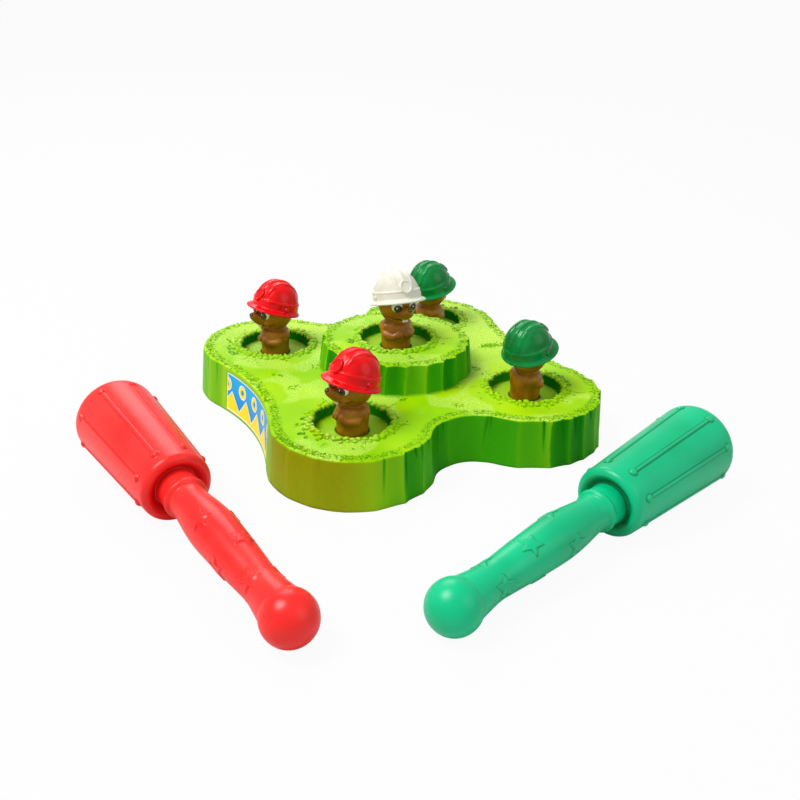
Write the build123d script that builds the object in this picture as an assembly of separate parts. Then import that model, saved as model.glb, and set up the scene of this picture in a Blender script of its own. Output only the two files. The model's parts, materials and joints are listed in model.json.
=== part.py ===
from build123d import *
import math
import os

# Mole pounding game: a grassy hill with five sprung moles in craters, and two mallets lying beside it.
# Millimetres, +Z up. The origin is on the table, under the middle mole. The middle mole looks along -Y,
# the two moles on the left look to the left and the two on the right look to the right.

# Fits and cuts shared by all pieces
overrun = 1.0  # how far a cut runs past the face that it opens
run_gap = 0.3  # between faces that move past each other
seat_gap = 0.1  # between two pieces of one body that plug together
fuse_bite = 0.5  # how deep a boss or rib sinks into the wall that it grows from

# Plan of the hill: four lobes round the outer moles, joined by hollow sides
mole_pitch_x = 130.0
mole_pitch_y = 139.0
lobe_radius = 52.5
side_hollow = 12.2  # how far the two label sides draw in behind the lobes
front_hollow = 31.2  # the same for the front and the back
wall_draft = 2.6  # how far the foot of the wall stands out beyond its top
rim_bevel = 1.5
shell_wall = 2.2

# Cliff flutes on the walls
flute_depth = 1.1
lobe_flutes = 11
waist_flutes = 3
mound_flutes = 20
flute_sway_share = 0.28  # how unevenly the flutes are spaced, as a share of one flute
flute_sway_count = 3  # how often that unevenness repeats along one arc

# Mound in the middle and craters round the moles
mound_rise = 21.0
mound_radius = 52.3
mound_draft = 2.0
crater_radius = 24.0
crater_depth = 5.8
crater_slope = 1.2  # how far the crater's wall leans out from floor to lip
lip_width = 3.2
lip_rise = 1.3
lip_slope = 1.1  # how far each side of the lip leans in

# Press mechanism under each mole, from the crater's floor down to the table
stem_radius = 10.2
stem_play = 0.35
guide_wall = 2.0
guide_length = 5.0
flange_thickness = 2.0
flange_radius = 12.8
hub_length = 1.3
hub_radius = 4.0
plug_length = 4.0
wire_hole_radius = 1.4
press_travel = 7.0
switch_size = 6.0
switch_body_height = 3.5
switch_button_radius = 1.7
switch_height = 4.3
board_thickness = 1.6
board_size = 24.0
board_corner = 2.0
post_height = 1.0
post_radius = 2.2
pin_radius = 1.0
pin_rise = 0.8
cover_thickness = 2.2
spring_radius = 7.0
spring_wire = 0.9
spring_turns = 4.5

# Mole figure
outer_turn = 12.0  # degrees that the outer moles look round from square to their side
torso_height = 19.0
torso_radius = 11.2
shoulder_height = 6.5
neck_radius = 9.6
head_radius = 12.3
head_height = 30.5
figure_bore = 6.8
arm_radius = 2.9
arm_height = 11.6
arm_reach = 9.6
paw_spread = 17.0  # degrees from the front to each paw
arm_sweep = 95.0  # degrees that each arm wraps
snout_reach = 21.0
snout_flare = 6.0  # how much thicker it is at the head's middle than at its tip
snout_tip = 3.1
snout_drop = 4.0
snout_pitch = 9.0  # degrees up from level
eye_radius = 1.7
eye_turn = 27.0
eye_lift = 7.0

# Helmet
helmet_tilt = 15.0  # degrees that its front is raised
helmet_height = 32.8
helmet_back = 0.5
dome_radius = 15.2
dome_height = 21.6
crown_radius = 10.5
helmet_wall = 1.4
brim_radius = 18.6
brim_lead = 0.7
brim_drop = 1.6
crown_rib_pitch = 5.4
crown_rib_width = 1.8
crown_rib_rise = 0.9
crown_rib_foot = 6.5
band_height = 3.2
band_rise = 0.6
lamp_radius = 4.2
lamp_stretch = 1.2  # its height over its width
lamp_rise = 1.9
lamp_root = 3.8  # how far the lamp's oval runs back into the dome
lamp_rim = 0.9
lamp_dish = 0.8
lamp_lift = 8.2
lug_size = 3.0
lug_rise = 0.9
lug_turn = 125.0
seat_height = 6.0
led_radius = 2.5
led_height = 8.6
led_flange = 2.9
led_flange_thickness = 1.0
led_leg = 0.5
led_leg_pitch = 2.54
led_leg_length = 5.0

# Battery compartment for three cells side by side
cell_radius = 7.25
cell_length = 50.5
cell_nub_radius = 2.75
cell_nub = 1.0
cell_count = 3
cell_gap = 0.4
contact_room = 3.0
contact_thickness = 0.4
contact_width = 8.0
contact_bow = 2.0
well_wall = 1.8
door_thickness = 2.0
door_margin = 3.0
door_gap = 0.25
door_grooves = 3  # finger grooves near the edge that lifts
door_groove = 1.0
door_groove_depth = 0.5
door_groove_pitch = 3.0
ledge_width = 3.0
ledge_thickness = 1.8
door_screw_room = 7.0

# Screws
screw_shank = 1.3
screw_head = 2.7
screw_head_height = 1.8
screw_slot = 0.6
screw_length = 13.0
screw_slack = 0.25
screw_sink = 0.8  # how far a head lies above the underside
cup_wall = 1.5
cup_height = 5.0
boss_radius = 3.6
boss_offset = 37.0  # from an outer mole to the screw in its lobe
waist_screw_x = 80.0

# Electronics and speaker
main_board_length = 76.0
main_board_width = 54.0
main_post_radius = 3.2
main_post_inset = 5.0
chip_radius = 6.0
chip_height = 1.4
capacitor_radius = 3.0
capacitor_height = 7.0
resistor_length = 6.0
resistor_width = 2.2
connector_length = 10.0
connector_width = 5.0
connector_height = 5.6
part_spacing = 12.0
speaker_radius = 18.0
speaker_rim = 1.2
speaker_frame_height = 6.0
speaker_neck_radius = 9.5
speaker_wall = 0.8
magnet_radius = 11.0
magnet_height = 5.0
cone_wall = 0.4
cone_cap_radius = 6.0
ring_wall = 1.8
ring_height = 3.0
grille_slot = 2.4
grille_pitch = 4.8
grille_margin = 3.0
plan_clearance = 4.0  # between things that stand side by side on the cover
switch_travel = 4.0
pocket_length = 17.0
pocket_width = 9.0
pocket_depth = 3.0
knob_length = 4.0
knob_width = 3.4
knob_shoulder = 1.6
knob_proud = 2.2
knob_groove = 0.5
slider_body_length = 14.0
slider_body_width = 6.6
slider_body_height = 5.0
slider_wall = 0.6

# Labels on the two long sides
label_half_width = 41.0
label_foot = 1.6
label_head = 3.4
label_thickness = 0.3
label_recess = 0.5
label_gap = 0.05

# Mallets: radii and distances along the axis from the middle of the pommel
pommel_radius = 15.2
pommel_turn = 58.0  # degrees from the pommel's top to where the grip begins
pommel_flow_share = 0.5  # how far the ball's curve carries on into the grip
grip_waist_radius = 10.9
grip_waist_at = 33.0
grip_belly_radius = 13.0
grip_belly_at = 88.0
neck_crease_radius = 10.9
neck_crease_at = 115.0
collar_radius = 16.0
collar_at = 119.0
collar_length = 4.5
back_dish = 2.5
head_back_radius = 21.6
head_back_at = 131.5
back_round = 4.5
striker_radius = 26.3
mallet_reach = 232.0
striker_round = 9.0
face_crown = 2.0
mallet_wall = 1.8
head_ribs = 8
head_rib_width = 1.4
head_rib_rise = 0.7
rivet_radius = 2.0
rivet_top_radius = 1.0
rivet_rise = 1.5
rivet_inset = 7.0
red_x = -163.4
red_y = -214.1
red_yaw = 98.4
green_x = -87.1
green_y = -239.7
green_yaw = 17.6

# Heights worked out from the stack under an outer mole
board_top = cover_thickness + post_height + board_thickness
switch_top = board_top + switch_height
hub_bottom = switch_top + run_gap + press_travel
flange_bottom = hub_bottom + hub_length
flange_top = flange_bottom + flange_thickness
guide_end = flange_top + run_gap
crater_floor = guide_end + guide_length + shell_wall
hill_top = crater_floor + crater_depth
mound_top = hill_top + mound_rise

# Heights of the same mechanism, counted from its crater's floor
stem_bottom = flange_top - crater_floor
spring_foot = board_top - crater_floor

# Plan of the hill worked out from the lobes
cell_middle_x = mole_pitch_x / 2
cell_middle_y = mole_pitch_y / 2
side_reach = lobe_radius - side_hollow
front_reach = lobe_radius - front_hollow
side_arc = (side_reach**2 + cell_middle_y**2 - lobe_radius**2) / (2 * side_hollow)
front_arc = (front_reach**2 + cell_middle_x**2 - lobe_radius**2) / (2 * front_hollow)
side_centre = cell_middle_x + side_reach + side_arc
front_centre = cell_middle_y + front_reach + front_arc
side_angle = math.degrees(math.atan2(cell_middle_y, side_centre - cell_middle_x))
front_angle = 180 - math.degrees(math.atan2(front_centre - cell_middle_y, cell_middle_x))

floor_of = {"centre": crater_floor + mound_rise}
place_of = {"centre": (0, 0)}
yaw_of = {"centre": -90}
for side, sign_x in (("left", -1), ("right", 1)):
    for row, sign_y in (("front", -1), ("back", 1)):
        name = f"{row}_{side}"
        floor_of[name] = crater_floor
        place_of[name] = (sign_x * cell_middle_x, sign_y * cell_middle_y)
        yaw_of[name] = outer_turn if sign_x > 0 else 180 + outer_turn
outer_names = [name for name in place_of if name != "centre"]


def drum(radius, low, high, x=0, y=0):
    stand = (Align.CENTER, Align.CENTER, Align.MIN)
    return Pos(x, y, low) * Cylinder(radius, high - low, align=stand)


def block(length, width, low, high, x=0, y=0):
    stand = (Align.CENTER, Align.CENTER, Align.MIN)
    return Pos(x, y, low) * Box(length, width, high - low, align=stand)


def joined(edges):
    outline = edges[0]
    for edge in edges[1:]:
        outline += edge
    return make_face(outline)


def turned(*edges, angle=360):
    """Revolves a closed half section, drawn in the XZ plane, about the Z axis."""
    return revolve(joined(list(edges)), Axis.Z, angle)


def section(*points):
    """A closed half section with straight sides, from (radius, height) pairs."""
    return Polyline(*[(r, 0, z) for r, z in points], close=True)


def polar(centre, radius, angle, height):
    turn = math.radians(angle)
    return (centre[0] + radius * math.cos(turn), centre[1] + radius * math.sin(turn), height)


def fluted_arc(centre, radius, start, end, count, dip, height):
    """Arcs from ridge to ridge round a centre; dip moves each flute's middle along the radius."""
    edges = []
    stops = []
    for i in range(count + 1):
        sway = flute_sway_share * math.sin(2 * math.pi * flute_sway_count * i / count)
        stops.append(start + (end - start) * (i + sway) / count)
    for a, b in zip(stops, stops[1:]):
        ends = [polar(centre, radius, angle, height) for angle in (a, b)]
        middle = polar(centre, radius + dip, (a + b) / 2, height)
        edges.append(ThreePointArc(ends[0], middle, ends[1]))
    return edges


def hill_outline(spread, height, fluted=True):
    """The four-lobed outline at one height, moved outwards by spread."""
    dip = flute_depth if fluted else 0
    lobe_count = lobe_flutes if fluted else 1
    waist_count = waist_flutes if fluted else 1
    lobes = (
        (1, 1, -side_angle, front_angle),
        (-1, 1, 180 - front_angle, 180 + side_angle),
        (-1, -1, 180 - side_angle, 180 + front_angle),
        (1, -1, 360 - front_angle, 360 + side_angle),
    )
    edges = []
    for sign_x, sign_y, start, end in lobes:
        centre = (sign_x * cell_middle_x, sign_y * cell_middle_y)
        edges += fluted_arc(centre, lobe_radius + spread, start, end, lobe_count, -dip, height)
        if sign_x == sign_y:
            centre = (0, sign_y * front_centre)
            swing = 180 - front_angle
            start = -sign_y * 90 + swing - 90
            waist = fluted_arc(
                centre, front_arc - spread, start, start - 2 * (swing - 90), waist_count, dip, height
            )
            edges += waist
        else:
            centre = (sign_x * side_centre, 0)
            start = 90 + sign_x * 90 + side_angle
            edges += fluted_arc(centre, side_arc - spread, start, start - 2 * side_angle, 1, 0, height)
    return joined(edges)


def mound_outline(radius, height):
    return joined(fluted_arc((0, 0), radius, 0, 360, mound_flutes, -flute_depth, height))


def wall_spread(height):
    return wall_draft * (1 - height / hill_top)


def label_sector(inner, outer, low, high, angle):
    """A slice of the left wall's hollow side between two depths into the wall."""
    wall_at = [side_arc - wall_spread(z) for z in (low, high)]
    outline = section(
        (wall_at[0] + inner, low),
        (wall_at[0] + outer, low),
        (wall_at[1] + outer, high),
        (wall_at[1] + inner, high),
    )
    return Pos(-side_centre, 0, 0) * Rot(0, 0, -angle / 2) * turned(outline, angle=angle)


label_angle = 2 * math.degrees(math.asin(label_half_width / side_arc))
label_top = hill_top - label_head


def screw_places():
    places = [(waist_screw_x * sign, 0) for sign in (-1, 1)]
    diagonal = boss_offset / math.sqrt(2)
    for name in outer_names:
        x, y = place_of[name]
        places.append((x + math.copysign(diagonal, x), y + math.copysign(diagonal, y)))
    return places


def make_hill_shell():
    bevel_foot = hill_top - rim_bevel
    edge = hill_outline(wall_spread(bevel_foot), bevel_foot)
    walls = loft([hill_outline(wall_draft, 0), edge], ruled=True)
    rim = loft([edge, hill_outline(-rim_bevel, hill_top)], ruled=True)
    mound_foot = mound_outline(mound_radius + mound_draft, hill_top - fuse_bite)
    mound_edge = mound_outline(mound_radius, mound_top - rim_bevel)
    mound = loft([mound_foot, mound_edge], ruled=True)
    mound_rim = loft([mound_edge, mound_outline(mound_radius - rim_bevel, mound_top)], ruled=True)
    shell = walls + rim + mound + mound_rim

    inset = shell_wall + flute_depth
    ceiling = hill_top - shell_wall
    hollow_foot = hill_outline(wall_draft - inset, -overrun, fluted=False)
    hollow_top = hill_outline(wall_spread(ceiling) - inset, ceiling, fluted=False)
    hollow = loft([hollow_foot, hollow_top], ruled=True)
    mound_hollow = turned(
        section(
            (0, ceiling - overrun),
            (mound_radius + mound_draft - inset, ceiling - overrun),
            (mound_radius - inset, mound_top - shell_wall),
            (0, mound_top - shell_wall),
        )
    )
    shell = shell - hollow - mound_hollow

    for name, (x, y) in place_of.items():
        floor = floor_of[name]
        lip = floor + crater_depth
        guide_foot = floor - shell_wall - guide_length
        guide_bore = stem_radius + stem_play
        cup = drum(crater_radius + crater_slope + shell_wall, floor - shell_wall, lip - fuse_bite, x, y)
        guide = drum(guide_bore + guide_wall, guide_foot, floor, x, y)
        outer = crater_radius + crater_slope + lip_width
        ring = turned(
            section(
                (crater_radius, lip - fuse_bite),
                (outer, lip - fuse_bite),
                (outer, lip),
                (outer - lip_slope, lip + lip_rise),
                (outer - lip_width + lip_slope, lip + lip_rise),
                (crater_radius, lip),
            )
        )
        dish = turned(
            section(
                (0, floor),
                (crater_radius, floor),
                (crater_radius + crater_slope, lip),
                (crater_radius + crater_slope, lip + lip_rise + overrun),
                (0, lip + lip_rise + overrun),
            )
        )
        bore = drum(guide_bore, guide_foot - overrun, floor + overrun, x, y)
        shell = shell + cup + guide + Pos(x, y, 0) * ring - Pos(x, y, 0) * dish - bore

    pilot_top = screw_sink + screw_length + overrun
    for x, y in screw_places():
        shell += drum(boss_radius, cup_height, ceiling + fuse_bite, x, y)
        shell -= drum(screw_shank + seat_gap / 2, cup_height - overrun, pilot_top, x, y)
    recess = label_sector(-overrun, label_recess, label_foot, label_top, label_angle)
    return shell - recess - Rot(0, 0, 180) * recess


def make_label():
    outer = label_recess - label_gap
    low = label_foot + label_gap
    high = label_top - label_gap
    angle = label_angle - math.degrees(2 * label_gap / side_arc)
    return label_sector(outer - label_thickness, outer, low, high, angle)


# Battery well, from the cells outwards
cell_pitch = 2 * cell_radius + cell_gap
well_length = cell_pitch * cell_count + cell_gap
well_width = cell_length + cell_nub + 2 * contact_room
cell_bottom = door_thickness + door_gap + run_gap
well_roof = cell_bottom + 2 * cell_radius + run_gap
door_length = well_length + 2 * door_margin
door_width = well_width + 2 * well_wall + 2 * door_screw_room
ledge_top = cover_thickness + ledge_thickness
door_screw_y = -(well_width / 2 + well_wall + door_screw_room / 2)
speaker_y = -(door_width / 2 + ledge_width + plan_clearance + ring_wall + speaker_radius)
power_switch_y = door_width / 2 + ledge_width + plan_clearance + pocket_width / 2 + ring_wall
main_rise = mound_rise
main_board_bottom = board_top - board_thickness + main_rise
main_board_top = board_top + main_rise
main_post_x = main_board_length / 2 - main_post_inset
main_post_y = main_board_width / 2 - main_post_inset
pocket_roof = pocket_depth + cover_thickness


def corners(half_x, half_y):
    return [(sign_x * half_x, sign_y * half_y) for sign_x in (-1, 1) for sign_y in (-1, 1)]


pin_offset = board_size / 2 - board_corner - pin_radius
pin_places = [(-pin_offset, -pin_offset), (pin_offset, pin_offset)]


def make_bottom_cover():
    inset = shell_wall + flute_depth + 2 * run_gap
    plate = extrude(hill_outline(wall_draft - inset, 0, fluted=False), cover_thickness)
    ledge = block(door_length + 2 * ledge_width, door_width + 2 * ledge_width, cover_thickness, ledge_top)
    opening = block(door_length, door_width, -overrun, cover_thickness)
    outer_length = well_length + 2 * well_wall
    outer_width = well_width + 2 * well_wall
    well = block(outer_length, outer_width, cover_thickness, well_roof + well_wall)
    cover = plate - opening + ledge + well
    cover -= block(well_length, well_width, -overrun, well_roof)
    cover += drum(boss_radius, ledge_top - fuse_bite, well_roof, 0, door_screw_y)
    cover -= drum(screw_shank + seat_gap / 2, -overrun, well_roof - ledge_thickness, 0, door_screw_y)

    ring_bore = speaker_radius + seat_gap
    ring_top = cover_thickness + ring_height
    speaker_ring = drum(ring_bore + ring_wall, cover_thickness - fuse_bite, ring_top)
    speaker_ring -= drum(ring_bore, cover_thickness, ring_top + overrun)
    cover += Pos(0, speaker_y, 0) * speaker_ring
    reach = speaker_radius - grille_margin
    slots = int(reach / grille_pitch)
    for i in range(-slots, slots + 1):
        offset = i * grille_pitch
        length = 2 * math.sqrt(reach**2 - offset**2)
        outline = Pos(offset, speaker_y) * SlotOverall(length, grille_slot, rotation=90)
        cover -= Pos(0, 0, -overrun / 2) * extrude(outline, cover_thickness + overrun)

    housing_length = pocket_length + 2 * ring_wall
    housing_width = pocket_width + 2 * ring_wall
    housing = block(housing_length, housing_width, 0, pocket_roof, 0, power_switch_y)
    pocket = block(pocket_length, pocket_width, -overrun, pocket_depth, 0, power_switch_y)
    slot_length = knob_length + switch_travel + 2 * run_gap
    slot_width = knob_width + 2 * run_gap
    slot = block(slot_length, slot_width, 0, pocket_roof + overrun, 0, power_switch_y)
    cover = cover + housing - pocket - slot

    for x, y in screw_places():
        cover += drum(screw_head + screw_slack + cup_wall, 0, cup_height, x, y)
        cover -= drum(screw_head + screw_slack, -overrun, screw_sink + screw_head_height, x, y)
        cover -= drum(screw_shank + screw_slack, 0, cup_height + overrun, x, y)
    for name in outer_names:
        x, y = place_of[name]
        for dx, dy in corners(pin_offset, pin_offset):
            post = drum(post_radius, cover_thickness - fuse_bite, board_top - board_thickness)
            cover += Pos(x + dx, y + dy, 0) * post
        for dx, dy in pin_places:
            cover += drum(pin_radius, cover_thickness, board_top + pin_rise, x + dx, y + dy)
    for x, y in corners(main_post_x, main_post_y):
        cover += drum(main_post_radius, cover_thickness - fuse_bite, main_board_bottom, x, y)
        pilot = drum(screw_shank + seat_gap / 2, main_board_bottom - screw_length, main_board_top, x, y)
        cover -= pilot
    return cover


def make_battery_door():
    length = door_length - 2 * door_gap
    width = door_width - 2 * door_gap
    plate = block(length, width, 0, door_thickness)
    plate = fillet(plate.edges().filter_by(Axis.Z), door_margin / 2)
    groove = block(length / 2, door_groove, -overrun, door_groove_depth)
    for i in range(door_grooves):
        plate -= Pos(0, well_width / 2 - i * door_groove_pitch, 0) * groove
    sink = turned(
        section(
            (0, -overrun),
            (screw_head + seat_gap, -overrun),
            (screw_head + seat_gap, 0),
            (screw_shank + screw_slack, screw_head - screw_shank),
            (screw_shank + screw_slack, door_thickness + overrun),
            (0, door_thickness + overrun),
        )
    )
    return plate - Pos(0, door_screw_y, 0) * sink


def make_door_screw():
    profile = section(
        (0, seat_gap),
        (screw_head - seat_gap, seat_gap),
        (screw_shank, screw_head - screw_shank),
        (screw_shank, screw_length),
        (0, screw_length),
    )
    slot = block(screw_head, screw_slot, 0, seat_gap + screw_slot)
    return Pos(0, door_screw_y, 0) * (turned(profile) - slot)


def pan_screw(length):
    """A screw with its shank up from the origin and its head below."""
    slot = block(screw_head, screw_slot, -screw_head_height, screw_slot - screw_head_height)
    return drum(screw_shank, 0, length) + drum(screw_head, -screw_head_height, 0) - slot


def make_cover_screws():
    seat = screw_sink + screw_head_height
    return [Pos(x, y, seat) * pan_screw(screw_length - screw_head_height) for x, y in screw_places()]


def make_board_screws():
    screw = Rot(180, 0, 0) * pan_screw(screw_length - screw_head_height - board_thickness)
    return [Pos(x, y, main_board_top) * screw for x, y in corners(main_post_x, main_post_y)]


def cell_places():
    middle = (cell_count - 1) / 2
    return [(i - middle) * cell_pitch for i in range(cell_count)]


def make_battery_cells():
    body = drum(cell_radius, 0, cell_length) + drum(cell_nub_radius, cell_length, cell_length + cell_nub)
    cells = []
    for i, x in enumerate(cell_places()):
        flip = 180 if i % 2 else 0
        lying = Rot(0, 0, flip) * Pos(0, -(cell_length + cell_nub) / 2, 0) * Rot(-90, 0, 0) * body
        cells.append(Pos(x, 0, cell_bottom + cell_radius) * lying)
    return cells


def make_battery_contacts():
    """A bowed spring leaf on the well's wall at each end of each cell."""
    foot = contact_thickness
    tall = cell_radius
    outline = Plane.YZ * (
        Line((0, -tall), (foot, -tall))
        + ThreePointArc((foot, -tall), (foot + contact_bow, 0), (foot, tall))
        + Line((foot, tall), (0, tall))
        + ThreePointArc((0, tall), (contact_bow, 0), (0, -tall))
    )
    leaf = extrude(make_face(outline), contact_width / 2, both=True)
    wall = -well_width / 2
    leaves = []
    for x in cell_places():
        for turn in (0, 180):
            stand = Rot(0, 0, turn) * Pos(0, wall, 0) * leaf
            leaves.append(Pos(x, 0, cell_bottom + cell_radius) * stand)
    return leaves


def make_switch_board():
    plate = block(board_size, board_size, board_top - board_thickness, board_top)
    plate = fillet(plate.edges().filter_by(Axis.Z), board_corner)
    for x, y in pin_places:
        plate -= drum(pin_radius + seat_gap, 0, board_top + overrun, x, y)
    return plate


def make_main_board():
    plate = block(main_board_length, main_board_width, main_board_bottom, main_board_top)
    plate = fillet(plate.edges().filter_by(Axis.Z), board_corner)
    for x, y in corners(main_post_x, main_post_y):
        plate -= drum(screw_shank + screw_slack, 0, main_board_top + overrun, x, y)
    return plate


def make_board_parts():
    top = main_board_top
    clear_x = flange_radius + plan_clearance
    chip = drum(chip_radius, top, top + chip_height, clear_x + chip_radius, 0)
    can = drum(capacitor_radius, top, top + capacitor_height, -clear_x - capacitor_radius, 0)
    resistor = block(resistor_length, resistor_width, top, top + resistor_width)
    socket = block(connector_length, connector_width, top, top + connector_height)
    row_y = main_post_y - part_spacing / 2
    parts = [chip, can]
    for i in (-1, 0, 1):
        parts.append(Pos(i * part_spacing, row_y, 0) * resistor)
        parts.append(Pos(i * part_spacing, -row_y, 0) * socket)
    return parts


def make_press_switch():
    body = block(switch_size, switch_size, 0, switch_body_height)
    return body + drum(switch_button_radius, switch_body_height, switch_height)


def make_return_spring():
    """A flat-wire spring between the board and the plunger's flange."""
    height = flange_bottom - board_top - spring_wire
    pitch = height / spring_turns
    coil = Helix(pitch, height, spring_radius)
    wire = Plane(origin=coil @ 0, z_dir=coil % 0) * Rectangle(spring_wire, spring_wire)
    return Pos(0, 0, spring_wire / 2) * sweep(wire, path=coil, is_frenet=True)


def make_plunger():
    flange = drum(flange_radius, stem_bottom - flange_thickness, stem_bottom)
    hub = drum(hub_radius, stem_bottom - flange_thickness - hub_length, stem_bottom - flange_thickness)
    plug = drum(figure_bore - seat_gap, stem_bottom, stem_bottom + plug_length)
    wires = drum(wire_hole_radius, stem_bottom - flange_thickness / 2, stem_bottom + plug_length + overrun)
    way_out = block(flange_radius + overrun, 2 * wire_hole_radius, 0, flange_thickness / 2)
    way_out = Pos((flange_radius + overrun) / 2, 0, stem_bottom - flange_thickness) * way_out
    cut = Pos(hub_radius, 0, 0) * (wires + way_out)
    return flange + hub + plug - cut


helmet_place = Pos(-helmet_back, 0, helmet_height) * Rot(0, -helmet_tilt, 0)


def cap_arc(radius, low, high):
    """An arc from the rim of a shallow cap to its top, its centre on the Z axis."""
    rise = high - low
    ball = (radius**2 + rise**2) / (2 * rise)
    half = math.asin(radius / ball) / 2
    middle = (ball * math.sin(half), 0, high - ball + ball * math.cos(half))
    return ThreePointArc((radius, 0, low), middle, (0, 0, high))


def dome(radius, height, crown):
    """A tall dome: a steep side arc that runs into a round crown."""
    side_round = (radius**2 + height**2 - 2 * height * crown) / (2 * (radius - crown))
    side_centre_x = radius - side_round
    crown_centre = height - crown
    lean = math.atan2(crown_centre, -side_centre_x)
    meet = (crown * math.cos(lean), 0, crown_centre + crown * math.sin(lean))
    middle = (side_centre_x + side_round * math.cos(lean / 2), 0, side_round * math.sin(lean / 2))
    return turned(
        ThreePointArc((radius, 0, 0), middle, meet),
        cap_arc(meet[0], meet[2], height),
        Line((0, 0, height), (0, 0, 0)),
        Line((0, 0, 0), (radius, 0, 0)),
    )


def inner_dome(thickness):
    return dome(dome_radius - thickness, dome_height - thickness, crown_radius - thickness)


def arm(turn):
    """A forearm that wraps round the belly and ends in a paw at the front."""
    slice_face = Plane.XZ * Pos(arm_reach, arm_height) * Circle(arm_radius)
    sleeve = Rot(0, 0, paw_spread) * revolve(slice_face, Axis.Z, arm_sweep)
    tip = polar((0, 0), arm_reach, paw_spread, arm_height)
    paw = Pos(*tip) * Sphere(arm_radius + seat_gap)
    whole = sleeve + paw
    return whole if turn > 0 else mirror(whole, about=Plane.XZ)


def make_mole():
    neck = torso_height
    torso = turned(
        Line((0, 0, stem_bottom), (stem_radius, 0, stem_bottom)),
        Line((stem_radius, 0, stem_bottom), (stem_radius, 0, shoulder_height)),
        ThreePointArc(
            (stem_radius, 0, shoulder_height),
            (torso_radius, 0, (shoulder_height + neck) / 2),
            (neck_radius, 0, neck),
        ),
        Line((neck_radius, 0, neck), (0, 0, neck)),
        Line((0, 0, neck), (0, 0, stem_bottom)),
    )
    low = head_height - math.sqrt(head_radius**2 - neck_radius**2)
    head = Pos(0, 0, head_height) * Sphere(head_radius)
    throat = drum(neck_radius, neck - fuse_bite, low + fuse_bite)
    pitch = Pos(0, 0, head_height - snout_drop) * Rot(0, 90 - snout_pitch, 0)
    snout_length = snout_reach / math.cos(math.radians(snout_pitch)) - snout_tip
    snout = pitch * Pos(0, 0, snout_length / 2) * Cone(snout_flare + snout_tip, snout_tip, snout_length)
    nose = pitch * Pos(0, 0, snout_length) * Sphere(snout_tip + seat_gap)
    figure = torso + throat + head + snout + nose + arm(1) + arm(-1)
    eye = Rot(0, -eye_lift, 0) * Pos(head_radius, 0, 0) * Sphere(eye_radius)
    for side in (-1, 1):
        figure += Pos(0, 0, head_height) * Rot(0, 0, side * eye_turn) * eye
    inner = inner_dome(helmet_wall + seat_gap)
    seat = helmet_place * (inner & drum(dome_radius, 0, seat_height))
    above = helmet_place * drum(dome_radius, seat_height, seat_height + 2 * head_radius)
    figure = figure + seat - above
    bore = drum(figure_bore, stem_bottom - overrun, head_height)
    leg_hole = helmet_place * drum(led_leg_pitch, head_height - helmet_height, seat_height + overrun)
    return figure - bore - leg_hole


def make_helmet():
    shell = inner_dome(0)
    brim = turned(
        section(
            (0, 0),
            (0, band_rise),
            (dome_radius, band_rise),
            (brim_radius, -brim_drop + helmet_wall / 2),
            (brim_radius, -brim_drop - helmet_wall / 2),
            (dome_radius, -helmet_wall / 2),
            (0, -helmet_wall / 2),
        )
    )
    shell += Pos(brim_lead, 0, 0) * brim
    shell += turned(
        section(
            (0, band_height - 2 * band_rise),
            (dome_radius, band_height - 2 * band_rise),
            (dome_radius + band_rise, band_height - band_rise),
            (dome_radius + band_rise, band_height),
            (0, band_height + band_rise),
        )
    )
    slab = block(2 * dome_radius, crown_rib_width, crown_rib_foot, dome_height + overrun)
    for i in (-1, 0, 1):
        shell += Pos(0, i * crown_rib_pitch, 0) * slab & inner_dome(-crown_rib_rise)
    lean = math.degrees(math.asin(lamp_lift / dome_height))
    lamp_at = (dome_radius * math.cos(math.radians(lean)), 0, lamp_lift)
    aim = Pos(*lamp_at) * Rot(0, 90 - lean / 2, 0)
    tall = lamp_radius * lamp_stretch
    oval = extrude(Ellipse(tall, lamp_radius), lamp_rise + lamp_root)
    glass = extrude(Ellipse(tall - lamp_rim, lamp_radius - lamp_rim), lamp_dish + overrun)
    shell += aim * Pos(0, 0, -lamp_root) * oval
    shell -= aim * Pos(0, 0, lamp_rise - lamp_dish) * glass
    for side in (-1, 1):
        lug = block(lug_rise + helmet_wall, lug_size, band_height - band_rise, band_height + lug_size)
        shell += Rot(0, 0, side * lug_turn) * Pos(dome_radius - helmet_wall / 2, 0, 0) * lug
    return shell - inner_dome(helmet_wall) - drum(dome_radius - helmet_wall, -helmet_wall - brim_drop, 0)


def make_led():
    round_at = seat_height + led_height - led_radius
    body = drum(led_flange, seat_height, seat_height + led_flange_thickness)
    body += drum(led_radius, seat_height, round_at) + Pos(0, 0, round_at) * Sphere(led_radius)
    leg = block(led_leg, led_leg, seat_height - led_leg_length, seat_height)
    for side in (-1, 1):
        body += Pos(side * led_leg_pitch / 2, 0, 0) * leg
    return body


def make_speaker():
    low = cover_thickness
    wide = speaker_radius
    frame = turned(
        section(
            (wide, low),
            (wide, low + speaker_rim),
            (wide - speaker_rim, low + speaker_rim),
            (speaker_neck_radius + speaker_wall, low + speaker_frame_height),
            (speaker_neck_radius - speaker_wall, low + speaker_frame_height),
            (wide - 2 * speaker_rim, low),
        )
    )
    magnet_low = low + speaker_frame_height
    magnet = drum(magnet_radius, magnet_low, magnet_low + magnet_height)
    cone_top = low + speaker_frame_height - 2 * speaker_wall
    rim = wide - 2 * speaker_rim - 3 * run_gap
    cone = turned(
        section(
            (0, cone_top - speaker_wall),
            (cone_cap_radius, cone_top - speaker_wall),
            (rim - cone_wall, low),
            (rim, low),
            (rim, low + cone_wall),
            (cone_cap_radius, cone_top),
            (0, cone_top),
        )
    )
    place = Pos(0, speaker_y, 0)
    return place * frame, place * magnet, place * cone


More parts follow.
